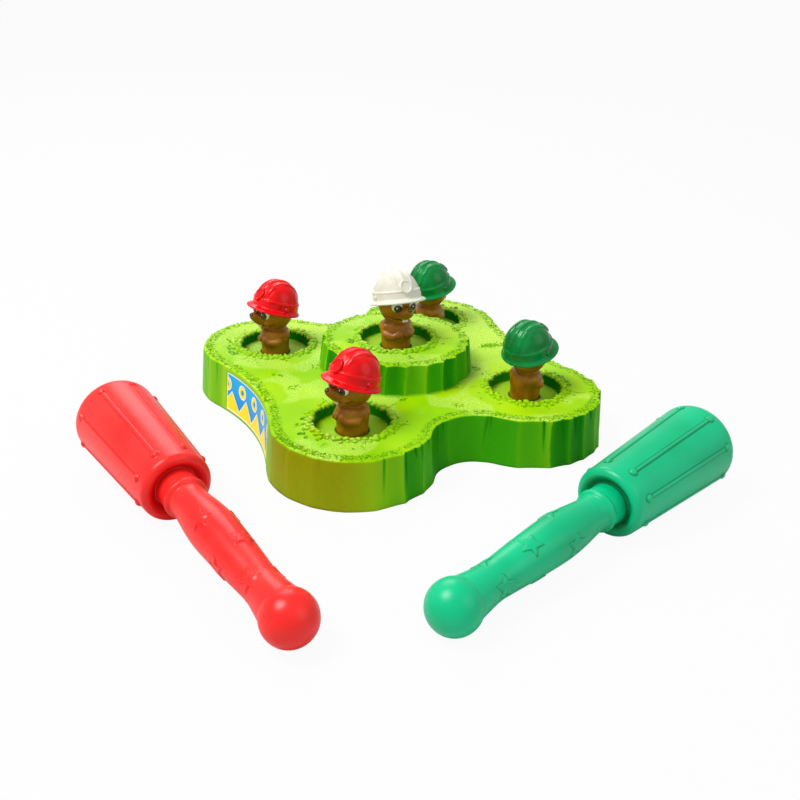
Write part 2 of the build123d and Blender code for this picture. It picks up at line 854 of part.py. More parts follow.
def make_power_switch():
    place = Pos(0, power_switch_y, 0)
    low = pocket_roof
    case = block(slider_body_length, slider_body_width, low, low + slider_body_height)
    room_length = slider_body_length - 2 * slider_wall
    room_width = slider_body_width - 2 * slider_wall
    room = block(room_length, room_width, low - overrun, low + slider_body_height / 2)
    neck = block(knob_length, knob_width, pocket_depth - knob_proud, low + knob_shoulder)
    shoulder_length = knob_length + 2 * run_gap
    shoulder = block(shoulder_length, room_width - 2 * run_gap, low, low + knob_shoulder)
    groove = block(knob_groove, knob_width + overrun, 0, pocket_depth - knob_proud + knob_groove)
    knob = neck + Pos(0, 0, run_gap) * shoulder - groove
    return place * (case - room), place * Pos(-switch_travel / 2, 0, 0) * knob


mallet_rim_at = mallet_reach - face_crown - striker_round
mallet_slope = (striker_radius - head_back_radius) / (mallet_rim_at - head_back_at)


def mallet_body():
    """The outside of the mallet, with its axis along Z."""
    crown = mallet_reach - face_crown
    turn = math.radians(pommel_turn)
    join = (pommel_radius * math.sin(turn), 0, pommel_radius * math.cos(turn))
    bulge = striker_round * (1 - math.sqrt(0.5))
    corner = back_round * (1 - math.sqrt(0.5))
    back_edge = (head_back_radius - back_round, 0, head_back_at - back_round)
    crease = (neck_crease_radius, 0, neck_crease_at)
    collar_end = (collar_radius, 0, collar_at + collar_length + back_dish)
    start = (0, 0, -pommel_radius)
    return turned(
        ThreePointArc(start, (pommel_radius, 0, 0), join),
        Spline(
            join,
            (grip_waist_radius, 0, grip_waist_at),
            (grip_belly_radius, 0, grip_belly_at),
            crease,
            tangents=((-join[2], 0, join[0]), (mallet_slope, 0, 1)),
            tangent_scalars=(pommel_flow_share, 1),
        ),
        Line(crease, (collar_radius, 0, collar_at)),
        Line((collar_radius, 0, collar_at), collar_end),
        Line(collar_end, back_edge),
        ThreePointArc(
            back_edge,
            (head_back_radius - corner, 0, head_back_at - back_round + corner),
            (head_back_radius, 0, head_back_at),
        ),
        Line((head_back_radius, 0, head_back_at), (striker_radius, 0, mallet_rim_at)),
        ThreePointArc(
            (striker_radius, 0, mallet_rim_at),
            (striker_radius - bulge, 0, crown - bulge),
            (striker_radius - striker_round, 0, crown),
        ),
        cap_arc(striker_radius - striker_round, crown, mallet_reach),
        Line((0, 0, mallet_reach), start),
    )


def mallet_void():
    """The air inside the blow moulding, one wall in from its outside."""
    wall = mallet_wall
    pommel = pommel_radius - wall
    slant = pommel * math.sqrt(0.5)
    collar = collar_radius - wall
    striker = striker_radius - wall
    end = mallet_reach - face_crown - wall
    return turned(
        section(
            (0, -pommel),
            (slant, -slant),
            (pommel, 0),
            (slant, slant),
            (grip_waist_radius - wall, grip_waist_at),
            (grip_belly_radius - wall, grip_belly_at),
            (neck_crease_radius - wall, neck_crease_at),
            (collar, collar_at + wall),
            (collar, collar_at + collar_length + back_dish + wall),
            (head_back_radius - back_round - wall, head_back_at - back_round + wall),
            (head_back_radius - wall, head_back_at + wall),
            (striker, mallet_rim_at),
            (striker - striker_round, end),
            (0, end),
        )
    )


def make_mallet():
    """A hollow mallet standing on its pommel, with ribs and rivets round its head."""
    body = mallet_body()
    lean = math.degrees(math.atan(mallet_slope))
    first = head_back_at + rivet_inset
    last = mallet_rim_at - rivet_inset / 2
    middle = (first + last) / 2
    surface = head_back_radius + mallet_slope * (middle - head_back_at)
    length = (last - first) / math.cos(math.radians(lean))
    rib = block(2 * head_rib_rise, head_rib_width, -length / 2, length / 2)
    rivet = Rot(0, 90, 0) * Cone(rivet_radius, rivet_top_radius, rivet_rise + fuse_bite)
    rivet = Pos((rivet_rise - fuse_bite) / 2, 0, 0) * rivet
    strip = rib + Pos(0, 0, -length / 2) * rivet + Pos(0, 0, length / 2) * rivet
    strip = Pos(surface, 0, middle) * Rot(0, lean, 0) * strip
    for i in range(head_ribs):
        body += Rot(0, 0, (i + 0.5) * 360 / head_ribs) * strip
    return body - mallet_void()


def lying_mallet(x, y, yaw):
    """Laid down: its pommel and the rim of its striking end both touch the table."""
    reach = math.hypot(mallet_rim_at, striker_radius)
    tilt = math.degrees(math.atan2(striker_radius, mallet_rim_at) - math.asin(pommel_radius / reach))
    return Pos(x, y, pommel_radius) * Rot(0, 0, yaw) * Rot(0, 90 - tilt, 0) * make_mallet()


def placed(shape, name):
    x, y = place_of[name]
    return Pos(x, y, floor_of[name]) * Rot(0, 0, yaw_of[name]) * shape


def save(name, shape):
    solids = shape if isinstance(shape, list) else [shape]
    solids = [solid for item in solids for solid in item.solids()]
    whole = solids[0] if len(solids) == 1 else Compound(children=solids)
    whole.label = name
    export_step(whole, f"parts/{name}.step")
    print(name, len(solids), "solids", round(sum(solid.volume for solid in solids)), "mm3")


def main():
    os.makedirs("parts", exist_ok=True)
    save("hill_shell", make_hill_shell())
    save("bottom_cover", make_bottom_cover())
    label = make_label()
    save("label_left", label)
    save("label_right", Rot(0, 0, 180) * label)
    save("battery_door", make_battery_door())
    save("battery_door_screw", make_door_screw())
    save("cover_screws", make_cover_screws())
    save("board_screws", make_board_screws())
    save("battery_cells", make_battery_cells())
    save("battery_contacts", make_battery_contacts())
    save("main_board", make_main_board())
    save("board_parts", make_board_parts())
    frame, magnet, cone = make_speaker()
    save("speaker_frame", frame)
    save("speaker_magnet", magnet)
    save("speaker_cone", cone)
    case, knob = make_power_switch()
    save("power_switch_body", case)
    save("power_switch_knob", knob)

    figure = make_mole()
    helmet = helmet_place * make_helmet()
    led = helmet_place * make_led()
    plunger = make_plunger()
    spring = Pos(0, 0, spring_foot) * make_return_spring()
    press_switch = Pos(0, 0, spring_foot) * make_press_switch()
    for name in place_of:
        save(f"mole_{name}", placed(figure, name))
        save(f"helmet_{name}", placed(helmet, name))
        save(f"led_{name}", placed(led, name))
        save(f"plunger_{name}", placed(plunger, name))
        save(f"return_spring_{name}", placed(spring, name))
        save(f"press_switch_{name}", placed(press_switch, name))
    switch_board = make_switch_board()
    for name in outer_names:
        x, y = place_of[name]
        save(f"switch_board_{name}", Pos(x, y, 0) * switch_board)

    save("red_mallet", lying_mallet(red_x, red_y, red_yaw))
    save("green_mallet", lying_mallet(green_x, green_y, green_yaw))


main()
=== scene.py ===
import json
import math
import random

import bmesh
import bpy
import numpy as np
from mathutils import Matrix, Vector, noise
from mathutils.geometry import delaunay_2d_cdt


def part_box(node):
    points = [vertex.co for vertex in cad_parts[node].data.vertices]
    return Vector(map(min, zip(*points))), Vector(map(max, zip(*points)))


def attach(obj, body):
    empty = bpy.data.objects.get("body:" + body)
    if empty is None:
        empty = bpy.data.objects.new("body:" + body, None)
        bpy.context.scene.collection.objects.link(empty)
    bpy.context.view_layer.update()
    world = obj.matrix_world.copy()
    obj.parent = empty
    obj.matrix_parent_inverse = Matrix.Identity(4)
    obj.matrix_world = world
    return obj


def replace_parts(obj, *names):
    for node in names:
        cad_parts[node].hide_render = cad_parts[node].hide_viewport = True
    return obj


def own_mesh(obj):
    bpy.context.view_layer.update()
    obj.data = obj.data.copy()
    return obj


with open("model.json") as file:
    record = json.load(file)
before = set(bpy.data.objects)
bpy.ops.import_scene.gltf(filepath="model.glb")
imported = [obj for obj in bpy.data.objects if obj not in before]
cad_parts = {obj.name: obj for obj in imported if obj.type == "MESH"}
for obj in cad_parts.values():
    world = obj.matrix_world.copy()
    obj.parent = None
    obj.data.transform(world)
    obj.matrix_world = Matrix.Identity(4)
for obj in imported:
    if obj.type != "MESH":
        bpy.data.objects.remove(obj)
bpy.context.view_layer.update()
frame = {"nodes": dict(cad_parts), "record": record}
nodes = frame["nodes"]
mm = 0.001
places = ["centre", "front_left", "back_left", "front_right", "back_right"]
outerPlaces = places[1:]
print("frame loaded:", len(nodes), "nodes")

# Each crater lies round the plunger of its mole
craterAt = {}
for name in places:
    low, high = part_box("plunger_" + name)
    craterAt[name] = Vector(((low.x + high.x) / 2, (low.y + high.y) / 2, 0))
levels = {
    "floor": 27.2 * mm,  # crater floor of an outer mole
    "top": 33.0 * mm,
    "moundRise": 21.0 * mm,
}
floorOf = {name: levels["floor"] + (levels["moundRise"] if name == "centre" else 0) for name in places}
turnOf = {"centre": -90, "front_left": 192, "back_left": 192, "front_right": 12, "back_right": 12}


# Shader maths: a wire is one output socket, and sums on it add their nodes

def sumOf(operation, swapped=False):
    def apply(self, other):
        return self.math(operation, other, self) if swapped else self.math(operation, self, other)
    return apply


class Wire:
    def __init__(self, tree, socket):
        self.tree = tree
        self.socket = socket

    def math(self, operation, *values):
        return addNode(self.tree, "Math", {"operation": operation}, dict(enumerate(values)))

    def fade(self, low, high):
        # 0 below low, 1 above high, smooth between
        settings = {"interpolation_type": "SMOOTHSTEP"}
        return addNode(self.tree, "MapRange", settings, {"Value": self, 1: low, 2: high})

    def out(self, name):
        return Wire(self.tree, self.socket.node.outputs[name])

    def __abs__(self):
        return self.math("ABSOLUTE", self)

    __add__ = __radd__ = sumOf("ADD")
    __mul__ = __rmul__ = sumOf("MULTIPLY")
    __sub__, __rsub__ = sumOf("SUBTRACT"), sumOf("SUBTRACT", True)
    __truediv__, __pow__, __lt__ = sumOf("DIVIDE"), sumOf("POWER"), sumOf("LESS_THAN")
    lower, higher = sumOf("MINIMUM"), sumOf("MAXIMUM")


def addNode(tree, kind, settings=None, inputs=None, output=0):
    node = tree.nodes.new("ShaderNode" + kind)
    for key, value in (settings or {}).items():
        setattr(node, key, value)
    for key, value in (inputs or {}).items():
        if isinstance(value, Wire):
            tree.links.new(value.socket, node.inputs[key])
        else:
            node.inputs[key].default_value = value
    return Wire(tree, node.outputs[output])


def rgb(*values):
    shares = [value / 255 for value in values]
    return (*(s / 12.92 if s <= 0.04045 else ((s + 0.055) / 1.055) ** 2.4 for s in shares), 1.0)


class Finish:
    def __init__(self, name, fixed):
        self.material = bpy.data.materials.new(name)
        self.material.use_nodes = True
        self.tree = self.material.node_tree
        self.shader = self.tree.nodes["Principled BSDF"]
        for key, value in fixed.items():
            self.shader.inputs[key].default_value = value
        self.place = self.add("TexCoord", output="Object")

    def add(self, kind, settings=None, inputs=None, output=0):
        return addNode(self.tree, kind, settings, inputs, output)

    def noise(self, size, detail=3.0):
        return self.add("TexNoise", None, {"Vector": self.place, "Scale": 1 / size, "Detail": detail})

    def attribute(self, name):
        return self.add("Attribute", {"attribute_name": name}, output="Fac")

    def parts(self, vector):
        split = self.add("SeparateXYZ", None, {0: vector})
        return [split.out(axis) for axis in "XYZ"]

    def mix(self, factor, first, second):
        return self.add("Mix", {"data_type": "RGBA"}, {0: factor, 6: first, 7: second}, 2)

    def feed(self, key, wire):
        self.tree.links.new(wire.socket, self.shader.inputs[key])

    def gloss(self, rough, *swings):
        # the roughness, swung by each noise to its own amount
        for wire, amount in swings:
            rough = rough + (wire - 0.5) * amount
        self.feed("Roughness", rough)

    def bump(self, height, distance, strength=0.5):
        inputs = {"Height": height, "Distance": distance, "Strength": strength}
        self.feed("Normal", self.add("Bump", None, inputs))


def moulded(name, deep, light, rough, dark=None, **look):
    # two near tones that drift, a dark one where a shape is marked, uneven gloss and a fine grain
    fixed = {"Specular IOR Level": look.get("shine", 0.5), "Metallic": look.get("metal", 0.0)}
    paint = Finish(name, fixed | look.get("fixed", {}))
    drift = paint.noise(look.get("driftSize", 18 * mm), look.get("driftDetail", 2.0))
    grain = paint.noise(look.get("grainSize", 0.5 * mm))
    tone = paint.mix(drift.fade(0.3, 0.7), deep, light)
    if dark:
        where, full, share, shade = dark
        tone = paint.mix(paint.attribute(where).fade(0.1, full) * share, tone, shade)
    paint.feed("Base Color", tone)
    paint.gloss(rough, (drift, look.get("swing", 0.12)), (grain, look.get("uneven", 0.12)))
    paint.bump(grain, look.get("grainHeight", 0.02 * mm))
    return paint.material


# Meshes and pieces

def rawMesh(name, vertices, faces):
    mesh = bpy.data.meshes.new(name)
    mesh.from_pydata([tuple(v) for v in vertices], [], [tuple(f) for f in faces])
    return mesh


def mark(mesh, name, values):
    layer = mesh.attributes.new(name, "FLOAT", "POINT")
    layer.data.foreach_set("value", np.array(values, np.float32))


def stand(name, data):
    made = bpy.data.objects.new(name, data)
    bpy.context.scene.collection.objects.link(made)
    return made


def addPiece(name, mesh, body, slotName, matrix=None):
    piece = stand(name, mesh)
    if matrix:
        piece.matrix_world = matrix
    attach(piece, body)
    return piece


def basePiece(name, vertices, faces, slotName, material, flat=False):
    mesh = rawMesh(name, vertices, faces)
    mesh.validate()
    mesh.materials.append(material)
    mesh.shade_flat() if flat else mesh.shade_smooth()
    return addPiece(name, mesh, "base", slotName)


def gridFaces(rows, columns, first=0):
    # a net of rows that close on themselves
    faces = []
    for r in range(rows - 1):
        for c in range(columns):
            d = (c + 1) % columns
            low = first + r * columns
            faces.append((low + c, low + d, low + columns + d, low + columns + c))
    return faces


def turnedFaces(rows, columns):
    # the net and both ends of a turned shape, whose two tips come after its rows
    tip, last = rows * columns, (rows - 1) * columns
    after = [(c + 1) % columns for c in range(columns)]
    faces = gridFaces(rows, columns)
    faces += [(tip, after[c], c) for c in range(columns)]
    return faces + [(tip + 1, last + c, last + after[c]) for c in range(columns)]


# The hill's plan: four lobes round the outer craters, joined by hollow sides

hill = {
    "lobeRadius": 52.5 * mm,
    "sideHollow": 12.2 * mm,
    "frontHollow": 31.2 * mm,
    "draft": 2.6 * mm,
    "step": 0.62 * mm,  # between the columns of the wall
    "wallRows": 22,
    "rimRows": ((0.12, 0.75), (0.45, 0.3), (1.0, 0.05), (1.8, 0.0)),  # inset and drop in millimetres
    "scallop": (8 * mm, 26 * mm),
    "scallopDepth": (0.8 * mm, 2.6 * mm),
    "valley": (0.3, 0.7),  # where across a scallop its deepest line lies
    # how dark the painted shade of each flute may be
    "tones": (0.3, 0.5, 0.62, 0.9),
    "creaseDepth": 1.0 * mm,
    "creaseWidth": 0.7 * mm,
    "creases": 54,
    "creaseLean": 30 * mm,
    "band": 12 * mm,
    "bandStep": 0.94 * mm,
    "flecks": (1.8 * mm, 9.5 * mm),  # the grassy border, measured in from the edge
    "wallThickness": 3.0 * mm,
    # where the flutes grow calm and by how much: towards the left end and at the waist
    "calmEnd": (-45 * mm, -85 * mm, 0.75),
    "calmWaist": (22 * mm, 48 * mm, 0.6),
    "labelFrom": 90 * mm,  # how far out the long sides lie
    "labelHalf": 42 * mm,
    "labelMargin": 7 * mm,
    "labelDepth": 0.5 * mm,
    "labelFoot": 1.6 * mm,
    "labelHead": 3.4 * mm,
    "ground": 0.45 * mm,
    "net": 1.7 * mm,
    "netShift": 0.4,
    "netGaps": (0.8 * mm, 0.9 * mm),  # kept clear of the craters and of the border
}
dice = random.Random(11)
pick = dice.uniform


def smooth(low, high, value):
    share = np.clip((value - low) / (high - low), 0, 1)
    return share * share * (3 - 2 * share)


def aims(count, start=0.0, span=2 * math.pi):
    angles = start + span * np.arange(count) / count
    return np.stack([np.cos(angles), np.sin(angles)], 1)


def turned(degrees, axis="Z", size=3):
    return Matrix.Rotation(math.radians(degrees), size, axis)


def hillOutline():
    # points and outward aims; the second half is the first, half a turn round
    midX, midY = (abs(v) for v in craterAt["front_right"][:2])
    lobe = hill["lobeRadius"]

    def hollow(depth, along):
        # radius of a hollow arc that meets the lobes, and how far out its centre lies
        reach = lobe - depth
        radius = (reach**2 + along**2 - lobe**2) / (2 * depth)
        return radius, reach + radius

    sideArc, sideOut = hollow(hill["sideHollow"], midY)
    frontArc, frontOut = hollow(hill["frontHollow"], midX)
    side = math.atan2(midY, sideOut)
    front = math.pi - math.atan2(frontOut, midX)
    runs = [
        ((midX, midY), lobe, -side, front, 1),
        ((0, midY + frontOut), frontArc, front - math.pi, -front, -1),
        ((-midX, midY), lobe, math.pi - front, math.pi + side, 1),
        ((-midX - sideOut, 0), sideArc, side, -side, -1),
    ]
    points, outward = [], []
    for centre, radius, start, end, sign in runs:
        aim = aims(round(abs(end - start) * radius / hill["step"]), start, end - start)
        points.append(np.array(centre) + radius * aim)
        outward.append(sign * aim)
    points, outward = np.concatenate(points), np.concatenate(outward)
    return np.vstack([points, -points]), np.vstack([outward, -outward])


def scallops(total, sizes, depths):
    # inward depth along a closed line of that length: uneven facets between sharp ridges, each with its own
    # painted shade
    edges = [0.0]
    while edges[-1] < total - sizes[0]:
        edges.append(edges[-1] + pick(*sizes))
    edges = np.array(edges) * total / edges[-1]
    deep = np.array([pick(*depths) for _ in edges])
    valley = np.array([pick(*hill["valley"]) for _ in edges])
    tone = np.array([dice.choice(hill["tones"]) for _ in edges])

    def depthAt(along):
        # the depth, and how dark the painted shade in the flute is there
        along = np.mod(along, total)
        cell = np.clip(np.searchsorted(edges, along, side="right") - 1, 0, len(edges) - 2)
        share = (along - edges[cell]) / (edges[cell + 1] - edges[cell])
        fall = np.where(share < valley[cell], share / valley[cell], (1 - share) / (1 - valley[cell]))
        bend = np.sin(math.pi / 2 * fall)
        return deep[cell] * bend ** 0.9, tone[cell] * (0.35 + 0.65 * bend ** 0.5)
    return depthAt


def creases(total, count, keep):
    spots = [pick(0, total) for _ in range(count)]
    lengths = [pick(0.25, 0.95) for _ in range(count)]
    leans = [pick(-0.12, 0.12) for _ in range(count)]

    def depthAt(along, rise):
        # rise runs from 0 at the foot to 1 at the top; each crease runs down from the top
        cut = np.zeros_like(along)
        for spot, length, lean in zip(spots, lengths, leans):
            if keep(spot):
                shift = along - spot - lean * (1 - rise) * hill["creaseLean"]
                away = np.abs(np.mod(shift + total / 2, total) - total / 2)
                fadeOut = smooth(1 - length, 1.0, rise)
                cut += hill["creaseDepth"] * fadeOut * np.exp(-((away / hill["creaseWidth"]) ** 2))
        return cut
    return depthAt


def waves(points, perMetre, level):
    return np.array([noise.noise(Vector((x * perMetre, y * perMetre, level))) for x, y in points])


def groundAt(points):
    # gentle unevenness of the moulded turf
    return hill["ground"] * (waves(points, 22, 3.1) + 0.35 * waves(points, 120, 8.7))


def buildWall(points, outward):
    count = len(points)
    steps = np.linalg.norm(np.roll(points, -1, 0) - points, axis=1)
    along = np.concatenate([[0], np.cumsum(steps)[:-1]])
    total = steps.sum()
    across, depth = np.abs(points).T
    nearSide = across > hill["labelFrom"]
    half = hill["labelHalf"]
    onLabel = (depth < half) & nearSide
    nearLabel = (1 - smooth(half, half + hill["labelMargin"], depth)) * nearSide
    start, full, share = hill["calmEnd"]
    strength = (1 - nearLabel) * (1 - share * smooth(start, full, points[:, 0]))
    full, end, share = hill["calmWaist"]
    calmWaist = 1 - smooth(full, end, across)
    strength = strength * (1 - share * calmWaist)
    hollow = scallops(total, hill["scallop"], hill["scallopDepth"])
    crease = creases(total, hill["creases"], lambda s: strength[np.searchsorted(along, s) % count] > 0.2)
    top = levels["top"]
    made = []

    def addRow(inset, height, weight, groundWeight=0.0):
        rise = height / top
        lines = crease(along, np.full(count, rise))
        flute, tone = hollow(along + 1.2 * mm * math.sin(2.5 * rise))
        cut = (flute * (0.72 + 0.28 * rise) + lines) * strength
        spread = hill["draft"] * (1 - min(rise, 1))
        recess = np.zeros(count)
        if inset < 1 * mm and hill["labelFoot"] < height < top - hill["labelHead"]:
            recess = hill["labelDepth"] * onLabel
        flat = points + outward * (spread - inset - cut * weight - recess)[:, None]
        z = np.full(count, height) + (groundAt(flat) * groundWeight if groundWeight else 0)
        onWall = inset < 0.3 * mm
        # painted shade on the wall: deeper in each flute and crease, and over the calm waist
        tone = ((tone + lines / hill["creaseDepth"] * 0.8) * strength + 0.32 * calmWaist) * onWall
        border = np.full(count, 0.0 if onWall or height < top else flecksAt(inset))
        made.append((np.column_stack([flat, z]), tone, border))

    addRow(hill["wallThickness"], 2.6 * mm, 0.3)
    addRow(hill["wallThickness"], 0.0, 0.3)
    heights = list(np.linspace(0, top - 1.3 * mm, hill["wallRows"]))
    heights += [z + d * mm for z in (hill["labelFoot"], top - hill["labelHead"]) for d in (-0.05, 0.05)]
    for height in sorted(heights):
        addRow(0.0, height, 1.0)
    for inset, drop in hill["rimRows"]:
        addRow(inset * mm, top - drop * mm, 1.0)
    for inset in np.arange(2.6 * mm, hill["band"] + 0.1 * mm, hill["bandStep"]):
        calm = float(1 - smooth(1.5 * mm, 10 * mm, inset))
        addRow(inset, top, calm, float(smooth(2 * mm, 8 * mm, inset)))
    return [np.array(part) for part in zip(*made)]


def flecksAt(inset):
    low, high = hill["flecks"]
    return float(smooth(low, low + 0.8 * mm, inset) * (1 - smooth(high - 3 * mm, high, inset)))


def resample(profile, step):
    # splits each leg of a profile into short steps
    profile = [np.array(point, float) for point in profile]
    made = profile[:1]
    for a, b in zip(profile, profile[1:]):
        pieces = max(1, round(np.linalg.norm(b[:2] - a[:2]) / step))
        made += [a + (b - a) * k / pieces for k in range(1, pieces + 1)]
    return np.array(made)


# Craters and mound, in millimetres

crater = {
    "bore": 10.55,
    "radius": 24.0,
    "slope": 1.2,
    "depth": 5.8,
    "lip": 1.2,
    "clodRise": 0.75,
    "outer": 33.0,
    "step": 0.8,
    "columns": 260,
    # how dark the ground is painted at each radius, as shade: in the bore, over the floor, up the wall and
    # between the clods
    "shade": ([10.8, 11.3, 23.5, 24.2, 25.3, 26.2, 28.8, 30.4], [1.0, 0.3, 0.36, 1.0, 1.1, 0.5, 0.45, 0.0]),
}
mound = {
    "radius": 52.3,
    "draft": 2.0,
    "columns": 520,
    "step": 0.95,
    "scallop": (8.0, 16.0),
    "depth": (1.2, 2.9),
    "creases": 16,
}


def craterProfile(base):
    # radius, height and how much of the turf's unevenness each point takes
    rim = base + crater["depth"]
    bore, radius = crater["bore"], crater["radius"]
    lip = radius + crater["slope"]
    return [
        (bore, base - 7, 0),
        (bore, base - 0.35, 0),
        (bore + 0.35, base, 0),
        (radius - 0.9, base, 0),
        (radius - 0.2, base + 0.25, 0),
        (radius + 0.1, base + 0.9, 0),
        (lip, rim, 0.2),
        (lip + 0.6, rim + 0.8, 0.4),
        (lip + 1.7, rim + crater["lip"], 0.6),
        (lip + 3.2, rim + 0.8, 0.8),
        (lip + 5.2, rim + 0.1, 1),
        (crater["outer"], rim, 1),
    ]


def polarRows(centre, profile, columns, cut=None):
    angles = 2 * math.pi * np.arange(columns) / columns
    edge = mound["radius"] * mm
    made = []
    for radius, height, weight in profile * np.array([mm, mm, 1]):
        inset, tone = cut(angles, radius, height) if cut else np.zeros((2, columns))
        flat = np.array(centre) + aims(columns) * (radius - inset)[:, None]
        z = height + earthRim(flat, radius) + (groundAt(flat) * weight if weight else 0)
        onWall = radius > edge - 0.3 * mm
        # painted shade: from the mound's flutes on its wall, and by radius in and round each crater
        tone = tone * onWall + np.interp(radius / mm, *crater["shade"])
        border = np.full(columns, 0.0 if onWall else flecksAt(edge - radius))
        made.append((np.column_stack([flat, z]), tone, border))
    return [np.array(part) for part in zip(*made)]


def earthRim(flat, radius):
    # clods on the lip round a crater
    inner = crater["radius"] * mm
    weight = smooth(inner + 0.8 * mm, inner + 2.4 * mm, radius)
    weight = weight * (1 - smooth(inner + 4.5 * mm, inner + 7 * mm, radius))
    if weight <= 0:
        return np.zeros(len(flat))
    return crater["clodRise"] * mm * weight * waves(flat, 330, 1.7)


def moundProfile():
    base = (levels["floor"] + levels["moundRise"]) / mm
    top = base + crater["depth"]
    foot = levels["top"] / mm
    radius = mound["radius"]
    spread = radius + mound["draft"]
    return resample(craterProfile(base) + [
        (radius - 9, top, 0.9),
        (radius - 1.9, top, 0.1),
        (radius - 1.1, top - 0.05, 0),
        (radius - 0.45, top - 0.3, 0),
        (radius - 0.12, top - 0.75, 0),
        (radius, top - 1.3, 0),
        (spread, foot + 1.2, 0),
        (spread + 0.5, foot + 0.35, 0.3),
        (spread + 1.6, foot, 0.7),
        (spread + 3.0, foot, 1),
    ], mound["step"])


def buildMound():
    around = 2 * math.pi * mound["radius"] * mm
    hollow = scallops(around, [v * mm for v in mound["scallop"]], [v * mm for v in mound["depth"]])
    crease = creases(around, mound["creases"], lambda s: True)
    inner = (mound["radius"] - 10) * mm
    outer = (mound["radius"] + mound["draft"]) * mm

    def cut(angles, radius, height):
        along = angles / (2 * math.pi) * around
        rise = (height - levels["top"]) / levels["moundRise"]
        weight = smooth(inner, inner + 8.5 * mm, radius) * (1 - smooth(0, 2.6 * mm, radius - outer))
        if rise < 0 or weight <= 0:
            return np.zeros((2, len(angles)))
        flute, tone = hollow(along + 1.1 * mm * math.sin(2.2 * rise + 1))
        lines = crease(along, np.full(len(angles), rise))
        # the inset, and the painted shade of the flutes and creases
        return weight * (flute * (0.75 + 0.25 * rise) + lines), weight * (tone + lines / hill["creaseDepth"])

    return polarRows((0, 0), moundProfile(), mound["columns"], cut)


def buildTurf(loops, ring, circles):
    # fills the flat between the rim band, the craters and the mound with a fine net
    points = [tuple(p[:2]) for loop in loops for p in loop]
    heights = [p[2] for loop in loops for p in loop]
    edges, first = [], 0
    for loop in loops:
        edges += [(first + i, first + (i + 1) % len(loop)) for i in range(len(loop))]
        first += len(loop)
    low, high = ring.min(0), ring.max(0)
    xs, ys = (np.arange(low[k], high[k], hill["net"]) for k in (0, 1))
    shift = hill["netShift"]
    spots = np.array([(x + pick(-shift, shift) * mm, y + pick(-shift, shift) * mm) for x in xs for y in ys])
    spots = spots[insideRing(spots, ring)]

    def clear(places, margin):
        keep = np.ones(len(places), bool)
        for centre, radius in circles:
            keep &= np.hypot(places[:, 0] - centre[0], places[:, 1] - centre[1]) > radius + margin
        return keep

    fromCraters, fromBorder = hill["netGaps"]
    spots = spots[clear(spots, fromCraters)]
    near = np.array([np.min(np.hypot(ring[::2, 0] - x, ring[::2, 1] - y)) for x, y in spots])
    spots = spots[near > fromBorder]
    heights += list(levels["top"] + groundAt(spots))
    points += [tuple(p) for p in spots]
    flat, _, triangles, origin = delaunay_2d_cdt([Vector(p) for p in points], edges, [], 0, 1e-7)[:4]
    z = [heights[source[0]] if source else levels["top"] for source in origin]
    middles = np.array([np.mean([flat[i] for i in t], axis=0) for t in triangles])
    keep = insideRing(middles, ring) & clear(middles, -0.02 * mm)
    return [(p[0], p[1], h) for p, h in zip(flat, z)], [tuple(t) for t, k in zip(triangles, keep) if k]


def insideRing(points, ring):
    x, y = points.T
    inside = np.zeros(len(points), bool)
    for (ax, ay), (bx, by) in zip(ring, np.roll(ring, -1, 0)):
        if ay != by:
            inside ^= ((ay > y) != (by > y)) & (x < (bx - ax) * (y - ay) / (by - ay) + ax)
    return inside


turf = {
    "deep": rgb(142, 204, 0),
    "light": rgb(170, 218, 0),
    # a painted sheen on the tops
    "sheen": rgb(208, 238, 120),
    # the walls: lighter on the ridges, deepening into the flutes and creases as painted shade
    "ridge": rgb(158, 212, 20),
    "wall": rgb(66, 172, 0),
    "shade": rgb(0, 124, 0),
    # a painted warm reflection
    "oliveReflection": rgb(156, 150, 0),
    # the painted shadow in the notches between blades of the grassy border
    "gap": rgb(42, 126, 0),
    "rough": 0.45,
    "fleck": 2.1 * mm,
}


